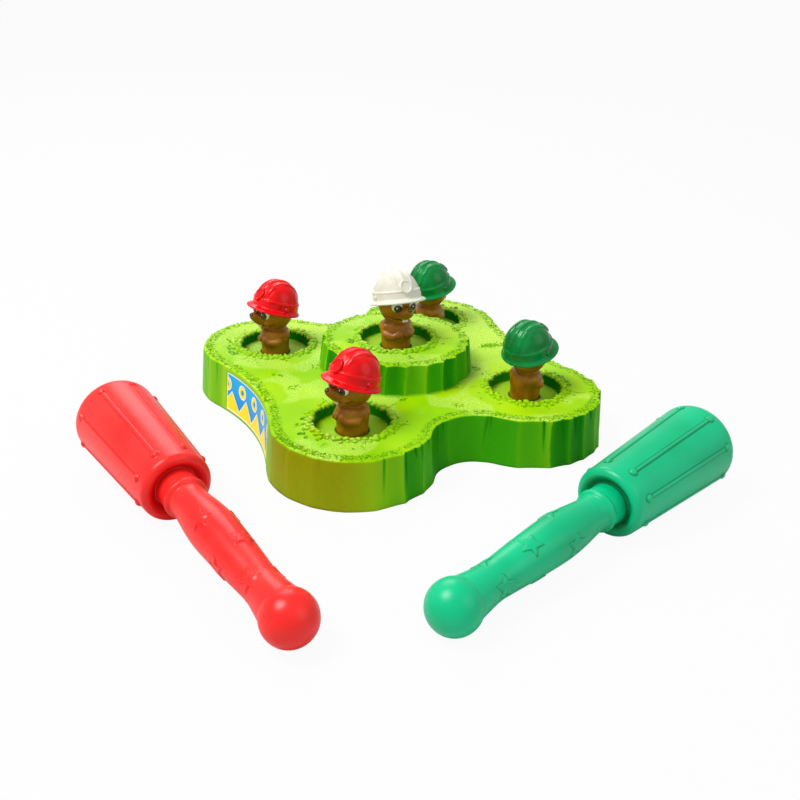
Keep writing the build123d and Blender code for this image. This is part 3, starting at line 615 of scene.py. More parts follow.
def turfWithPaintedLight():
    # pale on the ridges and lit tops; the walls a painted shade deeper, and deep green as painted shade in
    # hollows, creases and craters; dark flecks of painted shadow in the grassy border; a painted sheen of
    # pale stipple towards the back and a painted warm reflection on the front left corner
    paint = Finish("lime_turf", {"Specular IOR Level": 0.08})
    x, y = paint.parts(paint.place)[:2]
    broad = paint.noise(46 * mm, 2.0)
    fine = paint.noise(3.2 * mm, 4.0)
    grain = paint.noise(0.45 * mm, 2.0)
    speckle = paint.noise(1.1 * mm, 2.0)
    hollow = paint.attribute("hollow")
    border = paint.attribute("border")
    cells = {"Vector": paint.place, "Scale": 1 / turf["fleck"]}
    # painted shadow: dark flecks in the notches between blades of the grassy border, which the bump also
    # sinks
    notchShadow = 1 - paint.add("TexVoronoi", {"feature": "DISTANCE_TO_EDGE"}, cells).fade(0.02, 0.17)
    notchShadow = border * notchShadow * paint.noise(4 * mm, 1.0).fade(0.34, 0.6)
    # painted light: by the slope of the surface the tops take the lit lime colours and the walls a painted
    # shade of deeper green
    level = paint.parts(paint.add("NewGeometry", output="Normal"))[2].fade(0.35, 0.85)
    # a painted sheen: pale stipple in patches, growing towards the back
    far = (x * 0.5 + y * 0.85).fade(-30 * mm, 60 * mm)
    patch = paint.noise(30 * mm, 1.0).fade(0.5, 0.57)
    top = paint.mix(broad.fade(0.35, 0.65), turf["deep"], turf["light"])
    top = paint.mix(speckle.fade(0.38, 0.58) * (patch * 0.5 + far * 0.72).lower(0.8), top, turf["sheen"])
    # painted shade on the tops: in the bores, over the crater floors and between the clods
    top = paint.mix(hollow.fade(0.0, 1.0) * 0.9, top, turf["shade"])
    top = paint.mix(notchShadow * 0.85, top, turf["gap"])
    # painted shade on the walls, deepening into the flutes and creases
    side = paint.mix(hollow.fade(0.0, 0.42), turf["ridge"], turf["wall"])
    side = paint.mix(hollow.fade(0.3, 0.95), side, turf["shade"])
    # a painted warm reflection on the walls of the front left corner
    corner = x.fade(-62 * mm, -96 * mm) * y.fade(-48 * mm, -76 * mm)
    side = paint.mix(corner * (0.6 + fine * 0.4), side, turf["oliveReflection"])
    side = paint.mix(broad.fade(0.4, 0.7) * 0.25, side, turf["wall"])
    paint.feed("Base Color", paint.mix(level, side, top))
    paint.gloss(turf["rough"] + level * 0.08, (fine, 0.2))
    paint.bump(grain * 0.5 + fine * 0.9 + speckle * 0.5 - notchShadow * 1.6, 0.09 * mm, 0.6)
    return paint.material


turfMaterial = turfWithPaintedLight()


def buildHill():
    points, outward = hillOutline()
    wall = buildWall(points, outward)
    grids, circles = [wall], []
    for name in outerPlaces:
        profile = resample(craterProfile(floorOf[name] / mm), crater["step"])
        grids.append(polarRows(craterAt[name][:2], profile, crater["columns"]))
        circles.append((craterAt[name][:2], crater["outer"] * mm))
    grids.append(buildMound())
    circles.append(((0, 0), (mound["radius"] + mound["draft"] + 3.0) * mm))
    vertices, depths, borders, faces = [], [], [], []
    for rows, shadeRows, edges in grids:
        net = gridFaces(len(rows), rows.shape[1], len(vertices))
        faces += net if rows is wall[0] else [tuple(reversed(f)) for f in net]
        vertices += list(rows.reshape(-1, 3))
        depths += list(shadeRows.reshape(-1))
        borders += list(edges.reshape(-1))
    flat, triangles = buildTurf([grid[0][-1] for grid in grids], wall[0][-1][:, :2], circles)
    faces += [tuple(i + len(vertices) for i in t) for t in triangles]

    mesh = rawMesh("hill_skin", vertices + flat, faces)
    # hollow holds the painted shade of flutes, creases and craters; border marks the grassy band whose flecks
    # are painted shadow
    for name, values in (("hollow", depths), ("border", borders)):
        mark(mesh, name, values + [0.0] * len(flat))
    mesh.materials.append(turfMaterial)
    shape = bmesh.new()
    shape.from_mesh(mesh)
    bmesh.ops.remove_doubles(shape, verts=shape.verts, dist=0.02 * mm)
    bmesh.ops.recalc_face_normals(shape, faces=shape.faces)
    shape.to_mesh(mesh)
    shape.free()
    mesh.shade_smooth()
    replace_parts(addPiece("hill_skin", mesh, "base", "hill_green"), "hill_shell")
    print("hill skin:", len(mesh.vertices), "vertices")

    # the rows of the grassy borders, each from its edge inwards
    low, high = hill["flecks"]
    reach = (mound["radius"] - moundProfile()[:, 0]) * mm
    inside = [row for row, away in zip(grids[-1][0], reach) if low < away < high]
    count = round((high - low) / hill["bandStep"])
    first = -round((hill["band"] - 1.7 * mm) / hill["bandStep"])
    return wall[0][first:first + count], np.array(inside[::-1])


outerBorder, moundBorder = buildHill()


# Grass, stones and cracks moulded on the hill

class Heap:
    # gathers many small closed shapes into one piece
    def __init__(self):
        self.vertices = []
        self.faces = []

    def add(self, vertices, faces):
        first = len(self.vertices)
        self.vertices += vertices
        self.faces += [tuple(i + first for i in f) for f in faces]

    def blade(self, base, heading, length, width, rise, tipRise=0.0):
        ahead = Vector((math.cos(heading), math.sin(heading), 0))
        aside = Vector((-ahead.y, ahead.x, 0)) * width / 2
        crest = base + ahead * length * 0.4 + Vector((0, 0, rise))
        tip = base + ahead * length + Vector((0, 0, tipRise))
        self.add([base - aside, base + aside, tip, crest], [(0, 1, 3), (1, 2, 3), (2, 0, 3), (0, 2, 1)])

    def lump(self, centre, size, height):
        turn = Matrix.Rotation(pick(0, 6.3), 3, "Z")
        turn = turn @ Matrix.Rotation(pick(-0.5, 0.5), 3, "X")
        scale = Vector((size * pick(0.9, 1.35), size * pick(0.65, 1.0), height))
        self.add([centre + turn @ (v * (1 + pick(-0.16, 0.16)) * scale) for v in ballVertices], ballFaces)

    def crack(self, line, width, height):
        count = len(line)
        made, faces = [], []
        for i, p in enumerate(line):
            ahead = (line[min(i + 1, count - 1)] - line[max(i - 1, 0)]).normalized()
            taper = math.sin(math.pi * (i + 0.35) / (count - 0.3))
            half = Vector((-ahead.y, ahead.x, 0)) * width * taper / 2
            foot = p - Vector((0, 0, 0.2 * mm))
            made += [foot - half, p + Vector((0, 0, height * taper)), foot + half]
        for a in range(0, 3 * count - 3, 3):
            b = a + 3
            faces += [(a, b, b + 1, a + 1), (a + 1, b + 1, b + 2, a + 2), (a + 2, b + 2, b, a)]
        self.add(made, faces + [(0, 1, 2), (3 * count - 1, 3 * count - 2, 3 * count - 3)])

    def piece(self, name, material, flat=False):
        basePiece(name, self.vertices, self.faces, "hill_green", material, flat)


def ball(divisions):
    shape = bmesh.new()
    bmesh.ops.create_icosphere(shape, subdivisions=divisions, radius=1.0)
    vertices = [v.co.copy() for v in shape.verts]
    faces = [tuple(v.index for v in f.verts) for f in shape.faces]
    shape.free()
    return vertices, faces


ballVertices, ballFaces = ball(1)
grass = {
    "length": (1.6 * mm, 3.4 * mm),
    "width": (0.7 * mm, 1.3 * mm),
    "rise": (0.45 * mm, 0.95 * mm),
    "share": 0.45,
    "stride": 2,
    # tufts on the flat: place, length along the view and number of blades
    "tufts": [
        (83, 4, 18, 70), (-80, -8, 5, 14), (-84, 14, 4, 12),
        (8, -76, 5, 14), (10, 76, 5, 14), (58, 32, 4, 12),
    ],
    "tuftTurns": (-112, -64, -30, 18, 95, 160, 215),  # round the foot of the mound
    "tuftBlade": ((1.8, 3.8), (0.7, 1.2), (0.6, 1.2), (0.1, 0.9)),  # length, width, rise and tip
}
stones = {
    # two rings of clods: radius from and to, lift and gap
    "rings": ((25.7, 27.1, 0.8, 3.8), (27.9, 30.2, 0.45, 4.3)),
    "clod": (1.5, 2.9),
    "clusterAt": {"centre": 185, "front_left": 172, "back_left": 168, "front_right": 5, "back_right": 25},
    # a cluster and the loose stones round each crater: count, spread of turns, radius and size
    "cluster": (9, 26, (29.8, 36.5), (1.2, 2.2)),
    "loose": (8, (0, 360), (31, 38), (0.5, 1.2)),
}
cracks = {
    "turns": (-28, 26, 68, 108, 160, 205, 250),
    "swing": 12,
    "start": (30.2, 31.5),
    "end": (36, 42),
    "steps": 10,
    "wobble": 1.6,
    "width": (0.8, 1.3),
    "rise": 0.12,
    "ridgeAside": 0.75,
    "ridgeWidth": (0.8, 1.1),
    "ridgeRise": (0.25, 0.45),
}
# a darker turf green; on the dark blades it is the painted shade of their shadowed sides
deepTurf = moulded(
    "deep_turf", rgb(74, 146, 0), rgb(136, 200, 0), 0.45, shine=0.3, driftSize=2.4 * mm, grainHeight=0.05 * mm
)
# dark lines of painted shadow along the cracks
crackShadowPaint = moulded("turf_shadow", rgb(10, 84, 0), rgb(34, 112, 0), 0.6, shine=0.2, driftSize=3 * mm)


def topHeight(x, y):
    onMound = math.hypot(x, y) < mound["radius"] * mm
    wave = float(groundAt([(x, y)])[0])
    return levels["top"] + (levels["moundRise"] + wave * 0.6 if onMound else wave)


def around(middle, degrees, radius):
    # a point on the turf at that turn and distance from a crater's middle
    aim = math.radians(degrees)
    x, y = middle[0] + math.cos(aim) * radius * mm, middle[1] + math.sin(aim) * radius * mm
    return Vector((x, y, topHeight(x, y)))


def growRim():
    pale, dark = Heap(), Heap()
    for rows in (outerBorder, moundBorder):
        for k in range(len(rows) - 1):
            for i in range(k % grass["stride"], rows.shape[1], grass["stride"]):
                if dice.random() < grass["share"] * (1 - 0.07 * k):
                    outward = rows[k][i] - rows[k + 1][i]
                    heading = math.atan2(outward[1], outward[0]) + pick(-1.1, 1.1)
                    shift = Vector((pick(-0.4, 0.4), pick(-0.4, 0.4), -0.15))
                    sizes = [pick(*grass[key]) for key in ("length", "width", "rise")]
                    # about two blades in five are dark, painted as the shade of their shadowed sides
                    heap = dark if dice.random() < 0.42 else pale
                    heap.blade(Vector(rows[k][i]) + shift * mm, heading, *sizes)
    pale.piece("rim_grass", turfMaterial, flat=True)
    dark.piece("rim_grass_dark", deepTurf, flat=True)


def scatterStones():
    ring, clusters = Heap(), Heap()
    for name in places:
        middle = craterAt[name]
        rim = floorOf[name] + crater["depth"] * mm
        for low, high, lift, gap in stones["rings"]:
            turn = 0.0
            while turn < 360:
                radius = pick(low, high)
                size = pick(*stones["clod"]) * mm
                place = around(middle, turn, radius)
                place.z = rim + pick(lift - 0.2, lift + 0.25) * mm
                ring.lump(place, size, size * pick(0.55, 0.75))
                turn += math.degrees(pick(gap - 0.7, gap + 0.9) / radius)
        count, spread, away, sizes = stones["cluster"]
        for _ in range(count):
            spot = around(middle, stones["clusterAt"][name] + pick(-spread, spread), pick(*away))
            size = pick(*sizes) * mm
            clusters.lump(spot + Vector((0, 0, 0.2 * mm)), size, size * 0.6)
        count, spread, away, sizes = stones["loose"]
        for _ in range(count):
            size = pick(*sizes) * mm
            clusters.lump(around(middle, pick(*spread), pick(*away)), size, size * 0.7)
    ring.piece("crater_stones", turfMaterial)
    clusters.piece("stone_clusters", deepTurf, flat=True)


def drawCracks():
    # dark lines of painted shadow that run out from each crater, each with a low ridge beside it
    lines, ridges = Heap(), Heap()
    for name in places:
        for turn in cracks["turns"]:
            turn += pick(-cracks["swing"], cracks["swing"])
            start, end = pick(*cracks["start"]), pick(*cracks["end"])
            line, beside = [], []
            for i in range(cracks["steps"] + 1):
                turn += pick(-cracks["wobble"], cracks["wobble"])
                radius = start + (end - start) * i / cracks["steps"]
                aside = math.degrees(cracks["ridgeAside"] / radius)
                line.append(around(craterAt[name], turn, radius))
                beside.append(around(craterAt[name], turn + aside, radius))
            lines.crack(line, pick(*cracks["width"]) * mm, cracks["rise"] * mm)
            ridges.crack(beside, pick(*cracks["ridgeWidth"]) * mm, pick(*cracks["ridgeRise"]) * mm)
    lines.piece("turf_crack_shadows", crackShadowPaint)
    ridges.piece("turf_ridges", turfMaterial)


def growTufts():
    pale, dark = Heap(), Heap()
    tufts = list(grass["tufts"])
    for turn in grass["tuftTurns"]:
        spot = around((0, 0), turn, mound["radius"] + mound["draft"] + 2.6) / mm
        tufts.append((spot.x, spot.y, 3, 12))
    for x, y, length, blades in tufts:
        for k in range(blades):
            aim = pick(0, 2 * math.pi)
            start = pick(0.2, 2.6) * mm
            slide = pick(-0.5, 0.5) * (length - 3) * mm
            base = Vector((x * mm + math.cos(aim) * start + slide, y * mm + math.sin(aim) * start, 0))
            base.z = topHeight(base.x, base.y) - 0.15 * mm
            sizes = [pick(*span) * mm for span in grass["tuftBlade"]]
            # some blades are dark, painted as the shade of their shadowed sides
            (dark if dice.random() < 0.4 else pale).blade(base, aim, *sizes)
    pale.piece("grass_tufts", turfMaterial, flat=True)
    dark.piece("grass_tufts_dark", deepTurf, flat=True)


growRim()
scatterStones()
drawCracks()
growTufts()
print("grass, stones and cracks placed")


# Shapes that start as simple solids, in millimetres, and are melted into one moulding

def blob(centre, radii, turn=None, divisions=4):
    vertices, faces = ball(divisions)
    turn = turn or Matrix.Identity(3)
    return [Vector(centre) + turn @ (v * Vector(radii)) for v in vertices], faces


def strand(points, radii):
    # a row of overlapping balls along a line, so that it melts into a limb
    made = []
    for (a, b), (ra, rb) in zip(zip(points, points[1:]), zip(radii, radii[1:])):
        a, b = Vector(a), Vector(b)
        count = max(2, math.ceil((b - a).length / (0.35 * min(ra, rb))))
        for k in range(count + 1):
            share = k / count
            made.append(blob(a.lerp(b, share), [ra + (rb - ra) * share] * 3, divisions=3))
    return made


def turnedShape(profile, columns):
    # a closed solid from (radius, height) pairs, the first and last on the axis
    vertices = [Vector((r * x, r * y, z)) for r, z in profile[1:-1] for x, y in aims(columns)]
    tips = [Vector((0, 0, profile[end][1])) for end in (0, -1)]
    return vertices + tips, turnedFaces(len(profile) - 2, columns)


def meshOf(name, solids):
    heap = Heap()
    for points, faces in solids:
        heap.add([p * mm for p in points], faces)
    return rawMesh(name, heap.vertices, heap.faces)


def melted(mesh, voxel, rounds):
    source = stand("melting", mesh)
    remesh = source.modifiers.new("melt", "REMESH")
    remesh.mode = "VOXEL"
    remesh.voxel_size = voxel * mm
    soften = source.modifiers.new("soften", "SMOOTH")
    soften.factor = 0.5
    soften.iterations = rounds
    graph = bpy.context.evaluated_depsgraph_get()
    made = bpy.data.meshes.new_from_object(source.evaluated_get(graph))
    bpy.data.objects.remove(source)
    return made


def engrave(mesh, line, width, depth):
    # presses a round-bottomed groove into a mesh along a line of points, and notes where it is
    marks = np.zeros(len(mesh.vertices), np.float32)
    for vertex in mesh.vertices:
        away = np.min(np.linalg.norm(line - np.array(vertex.co), axis=1))
        if away < 3 * width:
            marks[vertex.index] = math.exp(-((away / width) ** 2))
            vertex.co -= vertex.normal * depth * marks[vertex.index]
    mark(mesh, "groove", marks)


def figurePlace(name):
    place = craterAt[name] + Vector((0, 0, floorOf[name]))
    return Matrix.Translation(place) @ turned(turnOf[name], size=4)


# Moles, with the figure looking along X and its crater's floor at zero

mole = {
    "trunk": [
        (0, -7.4), (10.2, -7.4), (10.2, 6.5), (10.6, 9), (10.9, 12),
        (10.6, 15), (9.6, 17.8), (7, 19.6), (0, 20),
    ],
    "head": [
        (0, 17.5), (5.4, 18.4), (8.6, 20.6), (11.2, 24), (13.0, 28),
        (13.8, 32), (13.4, 35), (11, 37.4), (0, 38.5),
    ],
    "snout": ([(5.2, 0, 27.4), (12.2, 0, 28.6), (17.8, 0, 31.2)], [7.8, 5.2, 2.9]),
    "jaw": ((6.2, 0, 22.0), (6.6, 5.4, 3.0)),
    "arm": ([(-1.0, 9.2, 13.2), (3.4, 9.7, 10.6), (8.2, 6.2, 9.8), (9.9, 2.9, 11.6)], [2.9, 2.8, 2.5, 2.3]),
    # what else each side has: middle, radii and divisions
    "lumps": [
        ((-1.2, 6.9, 14.6), (6.4, 5.3, 4.6), 4),  # shoulder
        ((10.3, 2.7, 11.9), (2.2, 2.5, 2.5), 4),  # paw and its fingers
        ((11.6, 1.35, 10.9), (1.1, 0.75, 1.7), 3),
        ((11.6, 2.7, 11.2), (1.1, 0.75, 1.7), 3),
        ((11.6, 4.05, 10.9), (1.1, 0.75, 1.7), 3),
        ((6.6, 4.6, 25.6), (5.4, 4.4, 3.7), 4),  # cheek
        ((-0.2, 12.3, 30.0), (2.2, 1.3, 2.4), 3),  # ear
    ],
    "smile": (11.0, 1.2, 23.3, 62, 1.12),  # radius, shift, height, half its turn and how far its ends rise
    "smileLine": (0.65 * mm, 1.0 * mm),  # width and depth
    "columns": 64,
    "voxel": 0.42,
    "rounds": 5,
    "eyeTurn": 26,
    "eyeAim": 14,
    "eyeAt": (12.3, 0, 33.0),
    # offset from the eye's middle, radii and divisions
    "whites": ((0, 0, 0), (2.5, 4.1, 3.9), 4),
    "pupils": ((1.45, 0, -0.6), (1.5, 2.9, 2.9), 4),
    # the glints are painted highlights: small white shapes on the pupils
    "glints": ((2.75, -0.9, 0), (0.4, 0.6, 0.6), 3),
    "nose": ((19.2, 0, 32.3), (1.75, 2.0, 1.55)),
    "tooth": ((12.7, 0.95, 22.7), (0.9, 1.0, 1.3)),
}


def bothSides(centre, radii, divisions):
    return [blob(Vector(centre) * Vector((1, side, 1)), radii, None, divisions) for side in (-1, 1)]


def moleMesh():
    # the trunk with folded arms, a rounded head and a pointed snout over a small chin
    solids = [turnedShape(mole[part], mole["columns"]) for part in ("trunk", "head")]
    points, radii = mole["arm"]
    for side in (-1, 1):
        solids += strand([(x, side * y, z) for x, y, z in points], radii)
    for lump in mole["lumps"]:
        solids += bothSides(*lump)
    solids += [blob(*mole["jaw"])] + strand(*mole["snout"])
    mesh = melted(meshOf("mole", solids), mole["voxel"], mole["rounds"])
    radius, shift, height, reach, rise = mole["smile"]
    smile = []
    for share in np.linspace(-1, 1, 41):
        aim = math.radians(reach * share)
        smile.append((radius * math.cos(aim) + shift, radius * math.sin(aim), height + rise * share**2))
    engrave(mesh, np.array(smile) * mm, *mole["smileLine"])
    return mesh


def eyes(kind):
    # one part of both eyes, flattened on the head
    offset, radii, divisions = mole[kind]
    made = []
    for side in (-1, 1):
        middle = turned(side * mole["eyeTurn"]) @ Vector(mole["eyeAt"])
        turn = turned(side * mole["eyeAim"])
        made.append(blob(middle + turn @ Vector(offset), radii, turn, divisions))
    return made


def glossPaint(name, deep, light, rough=0.16):
    coat = {"Coat Weight": 0.5, "Coat Roughness": 0.08}
    return moulded(name, deep, light, rough, fixed=coat, driftSize=1.5 * mm, grainSize=0.3 * mm)


def placeMoles():
    brown = moulded(
        "mole_plastic", rgb(140, 84, 0), rgb(176, 116, 20), 0.34, ("groove", 0.8, 0.9, rgb(62, 30, 4)),
        fixed={"Coat Weight": 0.1, "Coat Roughness": 0.25}, shine=0.28, driftSize=9 * mm, driftDetail=3.0,
        swing=0.14, grainSize=0.6 * mm, uneven=0.1, grainHeight=0.03 * mm,
    )
    white = glossPaint("eye_white", rgb(236, 234, 226), rgb(250, 249, 244))
    black = glossPaint("eye_black", rgb(14, 11, 9), rgb(26, 21, 18), 0.12)
    dark = glossPaint("nose_dark", rgb(52, 30, 10), rgb(74, 44, 16), 0.2)
    nose = [blob(*mole["nose"], Matrix.Rotation(-0.4, 3, "Y"))]
    shapes = {
        "figure": (moleMesh(), brown),
        "whites": (meshOf("whites", eyes("whites")), white),
        "pupils": (meshOf("pupils", eyes("pupils")), black),
        "glints": (meshOf("glints", eyes("glints")), white),
        "nose": (meshOf("nose", nose), dark),
        "teeth": (meshOf("teeth", bothSides(*mole["tooth"], 3)), white),
    }
    for mesh, material in shapes.values():
        mesh.materials.append(material)
        mesh.shade_smooth()
    for name in places:
        place, rider = figurePlace(name), name + "_mole"
        for kind, (mesh, _) in shapes.items():
            piece = addPiece("mole_" + kind + "_" + name, mesh, rider, "mole_brown", place)
            if kind == "figure":
                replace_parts(piece, "mole_" + name)
    print("moles:", len(shapes["figure"][0].vertices), "vertices each")


placeMoles()


# Helmets, with the brim's plane at zero and the front along X

helmet = {
    "columns": 120,
    "voxel": 0.32,
    "rounds": 3,
    "tilt": 17.0,
    "at": (-0.5, 0, 34.2),
    "radius": 16.4,
    "height": 20.0,
    "wall": 1.4,
    "roundness": 2.2,
    "brimLead": 1.3,
    "brimWidth": 2.6,
    # the outer wall from under the brim up to the ledge over the skirt
    "brim": [
        (16.4, -0.9), (19.2, -2.3), (19.6, -1.7), (19.3, -1.0), (17.3, 0.3),
        (16.8, 0.9), (16.6, 5.2), (16.9, 5.9), (16.2, 6.5),
    ],
    "ribPitch": 6.0,
    "ribReach": 15.6,
    "ribRadius": 2.5,
    "ribRise": 1.0,
    "ribSteps": 14,
    "lamp": [(0, -4), (4.3, -4), (4.3, 1.1), (4.0, 1.6), (3.4, 1.6), (3.1, 1.0), (0, 1.1)],
    "lampWide": 1.15,
    "lampLift": 8.4,
    "lampLean": 24,
    "lug": ((16.9, 0, 2.6), (1.5, 1.5, 1.6)),
    "lugTurn": 85,
}


def dome(share):
    # a full curve from 1 in the middle down to 0 at the edge
    power = helmet["roundness"]
    return (1 - min(1.0, max(0.0, share)) ** power) ** (1 / power)


def helmetMesh():
    h = helmet
    radius, height = h["radius"], h["height"]
    inside = height - h["wall"]
    inner = [((radius - h["wall"]) * dome(z / inside), z) for z in np.linspace(inside, -0.4, 26)]
    outer = [(radius * dome(z / height), z) for z in height * np.sin(np.linspace(0.36, math.pi / 2, 24))]
    points, faces = turnedShape(inner + h["brim"] + outer, h["columns"])
    for point in points:
        # the brim stands further out in front
        share = smooth(radius, radius + h["brimWidth"], math.hypot(point.x, point.y))
        point.x += h["brimLead"] * float(share)
    solids = [(points, faces)]
    for side in (-1, 0, 1):
        y = side * h["ribPitch"]
        reach = math.sqrt(h["ribReach"] ** 2 - y * y)
        line = []
        for x in np.linspace(-reach, reach, h["ribSteps"] + 1):
            z = height * dome(math.hypot(x, y) / radius)
            away = Vector((x / radius, y / radius, z / height)).normalized()
            line.append(Vector((x, y, z)) + away * (h["ribRise"] - h["ribRadius"]))
        swell = np.sin(math.pi * np.arange(len(line)) / h["ribSteps"])
        solids += strand(line, h["ribRadius"] * (0.8 + 0.2 * swell))
        if side:
            place, size = h["lug"]
            solids.append(blob(turned(side * h["lugTurn"]) @ Vector(place), size, divisions=3))
    aim = turned(90 - h["lampLean"], "Y")
    at = Vector((radius * dome(h["lampLift"] / height), 0, h["lampLift"]))
    disc, sides = turnedShape(h["lamp"], 48)
    solids.append(([at + aim @ Vector((p.x * h["lampWide"], p.y, p.z)) for p in disc], sides))
    mesh = melted(meshOf("hard_hat", solids), h["voxel"], h["rounds"])
    mesh.transform(Matrix.Translation(Vector(h["at"]) * mm) @ turned(-h["tilt"], "Y", 4))
    mesh.shade_smooth()
    return mesh


def placeHelmets():
    # which moles wear each colour, its two tones, roughness, coat and glow
    looks = {
        "helmet_red": ("left", "red_gloss", rgb(212, 0, 4), rgb(246, 8, 16), 0.24, 0.12, 0.0),
        "helmet_green": ("right", "green_gloss", rgb(0, 110, 44), rgb(0, 140, 66), 0.2, 0.12, 0.0),
        "helmet_cream": ("centre", "milky_cream", rgb(218, 216, 200), rgb(232, 230, 216), 0.5, 0.04, 0.15),
    }
    shape = helmetMesh()
    for slotName, (side, *paint, coat, glow) in looks.items():
        fixed = {"Coat Weight": coat, "Coat Roughness": 0.08, "Subsurface Weight": glow}
        fixed |= {"Subsurface Radius": (1.0, 1.0, 1.0), "Subsurface Scale": 1.2 * mm}
        mesh = shape.copy()
        mesh.materials.append(moulded(*paint, shine=0.2, fixed=fixed, driftSize=16 * mm, uneven=0.06))
        for name in places:
            if side in name:
                piece = addPiece("hard_hat_" + name, mesh, name + "_mole", slotName, figurePlace(name))
                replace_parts(piece, "helmet_" + name)
    print("helmets:", len(shape.vertices), "vertices each")


placeHelmets()


# Mallets, in millimetres along their axis from the middle of the pommel

mallet = {
    "pommel": 15.2,
    "pommelTurn": 58.0,
    "grip": [
        (10.76, 24), (10.95, 34), (12.2, 52), (13.44, 77.5),
        (12.9, 92), (11.5, 104), (10.86, 110), (10.9, 115),
    ],
    "collar": [(12.3, 116.1), (12.9, 116.8), (13.0, 117.4), (13.0, 118.5), (12.8, 119.2), (12.2, 119.7)],
    "dish": [(12.2, 130.9), (12.9, 131.0)],
    # radius, height and bend of the head's two edges
    "back": (21.6, 131.5, 4.0),
    "striker": (26.3, 221.0, 9.0),
    "end": 232.0,
    "crown": 2.0,
    "ribs": 8,
    "ribWidth": 1.5,
    "ribEdge": (0.3, 0.75, 0.8),  # where its side begins, ends and the painted shade at its foot lies, in widths
    "ribRise": 0.75,
    # how far the painted shade spreads at the foot of ribs and rivets
    "footSpread": 0.5,
    "ribCrowding": 0.55,  # how much the columns gather at the ribs
    "rivet": 2.3,
    "rivetRise": 1.5,
    "rivetsAt": (138.5, 217.5),
    "starSize": 7.4,
    "starNotch": 3.3,
    "starRise": 0.55,
    "starEdge": 0.35,
    # how far the painted shade spreads round the edge of a star
    "starSpread": 0.45,
    "starTurn": 40,  # from each star of a ring to the next
    "stars": [(27, 3, 15), (54, 3, 78), (82, 3, 22)],
    "step": 0.75,
    "columns": 272,
}


def throughPoints(points, pieces):
    # a smooth line through points
    p = np.array(points, float)
    p = np.vstack([2 * p[0] - p[1], p, 2 * p[-1] - p[-2]])
    made = []
    for a, b, c, d in zip(p, p[1:], p[2:], p[3:]):
        for k in range(pieces):
            t = k / pieces
            line = 2 * b + (c - a) * t + (2 * a - 5 * b + 4 * c - d) * t * t + (3 * b - a - 3 * c + d) * t**3
            made.append(tuple(line / 2))
    return made + [tuple(p[-2])]


def bow(radius, height, wide, tall, start, end, count):
    # points on part of an ellipse round that radius and height
    angles = np.linspace(start, end, count)
    return [(radius + wide * math.cos(a), height + tall * math.sin(a)) for a in angles]


def malletProfile():
    m = mallet
    quarter = math.pi / 2
    made = bow(0, 0, m["pommel"], m["pommel"], -quarter, quarter - math.radians(m["pommelTurn"]), 24)
    made += throughPoints([made[-1]] + m["grip"], 8)[1:]
    made += m["collar"] + m["dish"]
    radius, at, bend = m["back"]
    made += bow(radius - bend, at, bend, bend, -quarter, 0, 7)
    radius, at, bend = m["striker"]
    made += bow(radius - bend, at, bend, m["end"] - m["crown"] - at, 0, quarter, 13)
    return resample(made + [(8.0, m["end"] - 0.5), (0.0, m["end"])], m["step"])


def malletBumps(radius, height, angles):
    # how far ribs, rivets and stars stand out, and how near each point is to the foot of one, where shade is
    # painted; the dish behind the head is painted as shade too
    m = mallet
    raised = np.zeros(len(angles))
    foot = np.zeros(len(angles))
    step = 2 * math.pi / m["ribs"]
    aside = (np.mod(angles, step) - step / 2) * radius

    def beside(away, width):
        return np.exp(-((away / width) ** 2))

    low, high = m["rivetsAt"]
    if low - 4 < height < high + 4:
        crest, edge, base = (m["ribWidth"] * share for share in m["ribEdge"])
        rib = 1 - smooth(crest, edge, np.abs(aside))
        if low < height < high:
            raised = np.maximum(raised, m["ribRise"] * rib)
            foot = np.maximum(foot, beside(np.abs(aside) - base, m["footSpread"]))
        for at in (low, high):
            away = np.hypot(aside, height - at) / m["rivet"]
            raised = np.maximum(raised, m["rivetRise"] * np.sqrt(np.clip(1 - away**2, 0, 1)))
            foot = np.maximum(foot * (away > 0.9), beside((away - 1.08) * m["rivet"], m["footSpread"]))
    size, notch = m["starSize"], m["starNotch"]
    tenth = math.radians(36)
    for at, count, turn in m["stars"]:
        if abs(height - at) < size + 1:
            for k in range(count):
                middle = math.radians(turn + 360 * k / count)
                side = (np.mod(angles - middle + math.pi, 2 * math.pi) - math.pi) * radius
                reach = np.hypot(side, height - at)
                aim = np.degrees(np.arctan2(side, height - at)) + m["starTurn"] * k
                fold = np.radians(np.abs(np.mod(aim + 36, 72) - 36))
                edge = size * notch * math.sin(tenth) / (size * np.sin(fold) + notch * np.sin(tenth - fold))
                past, soft = reach - edge, m["starEdge"]
                raised = np.maximum(raised, m["starRise"] * (1 - smooth(-soft, soft, past)))
                foot = np.maximum(foot, beside(past - soft, m["starSpread"]))
    # painted shade in the dish behind the head
    out, up, bend = m["back"]
    if up - bend < height < m["dish"][1][1] + 1 and radius < out - bend:
        foot = np.maximum(foot, float(smooth(up - bend, up - 1.5, height)))
    return raised, foot


def malletMesh():
    profile = malletProfile()
    ahead = np.gradient(profile, axis=0)
    ahead /= np.linalg.norm(ahead, axis=1)[:, None]
    columns, ribs = mallet["columns"], mallet["ribs"]
    spread = 2 * math.pi * np.arange(columns) / columns
    angles = spread + mallet["ribCrowding"] * np.sin(spread * ribs) / ribs
    vertices, feet = [], []
    for (radius, height), (dr, dz) in list(zip(profile, ahead))[1:-1]:
        raised, foot = malletBumps(radius, height, angles)
        wide, z = radius + raised * dz, height - raised * dr
        vertices.append(np.column_stack([wide * np.cos(angles), wide * np.sin(angles), z]) * mm)
        feet += list(foot)
    vertices += [(0, 0, profile[end][1] * mm) for end in (0, -1)]
    mesh = rawMesh("mallet", np.vstack(vertices), turnedFaces(len(profile) - 2, columns))
    mark(mesh, "foot", feet + [0.0, 0.0])
    mesh.shade_smooth()
    return mesh


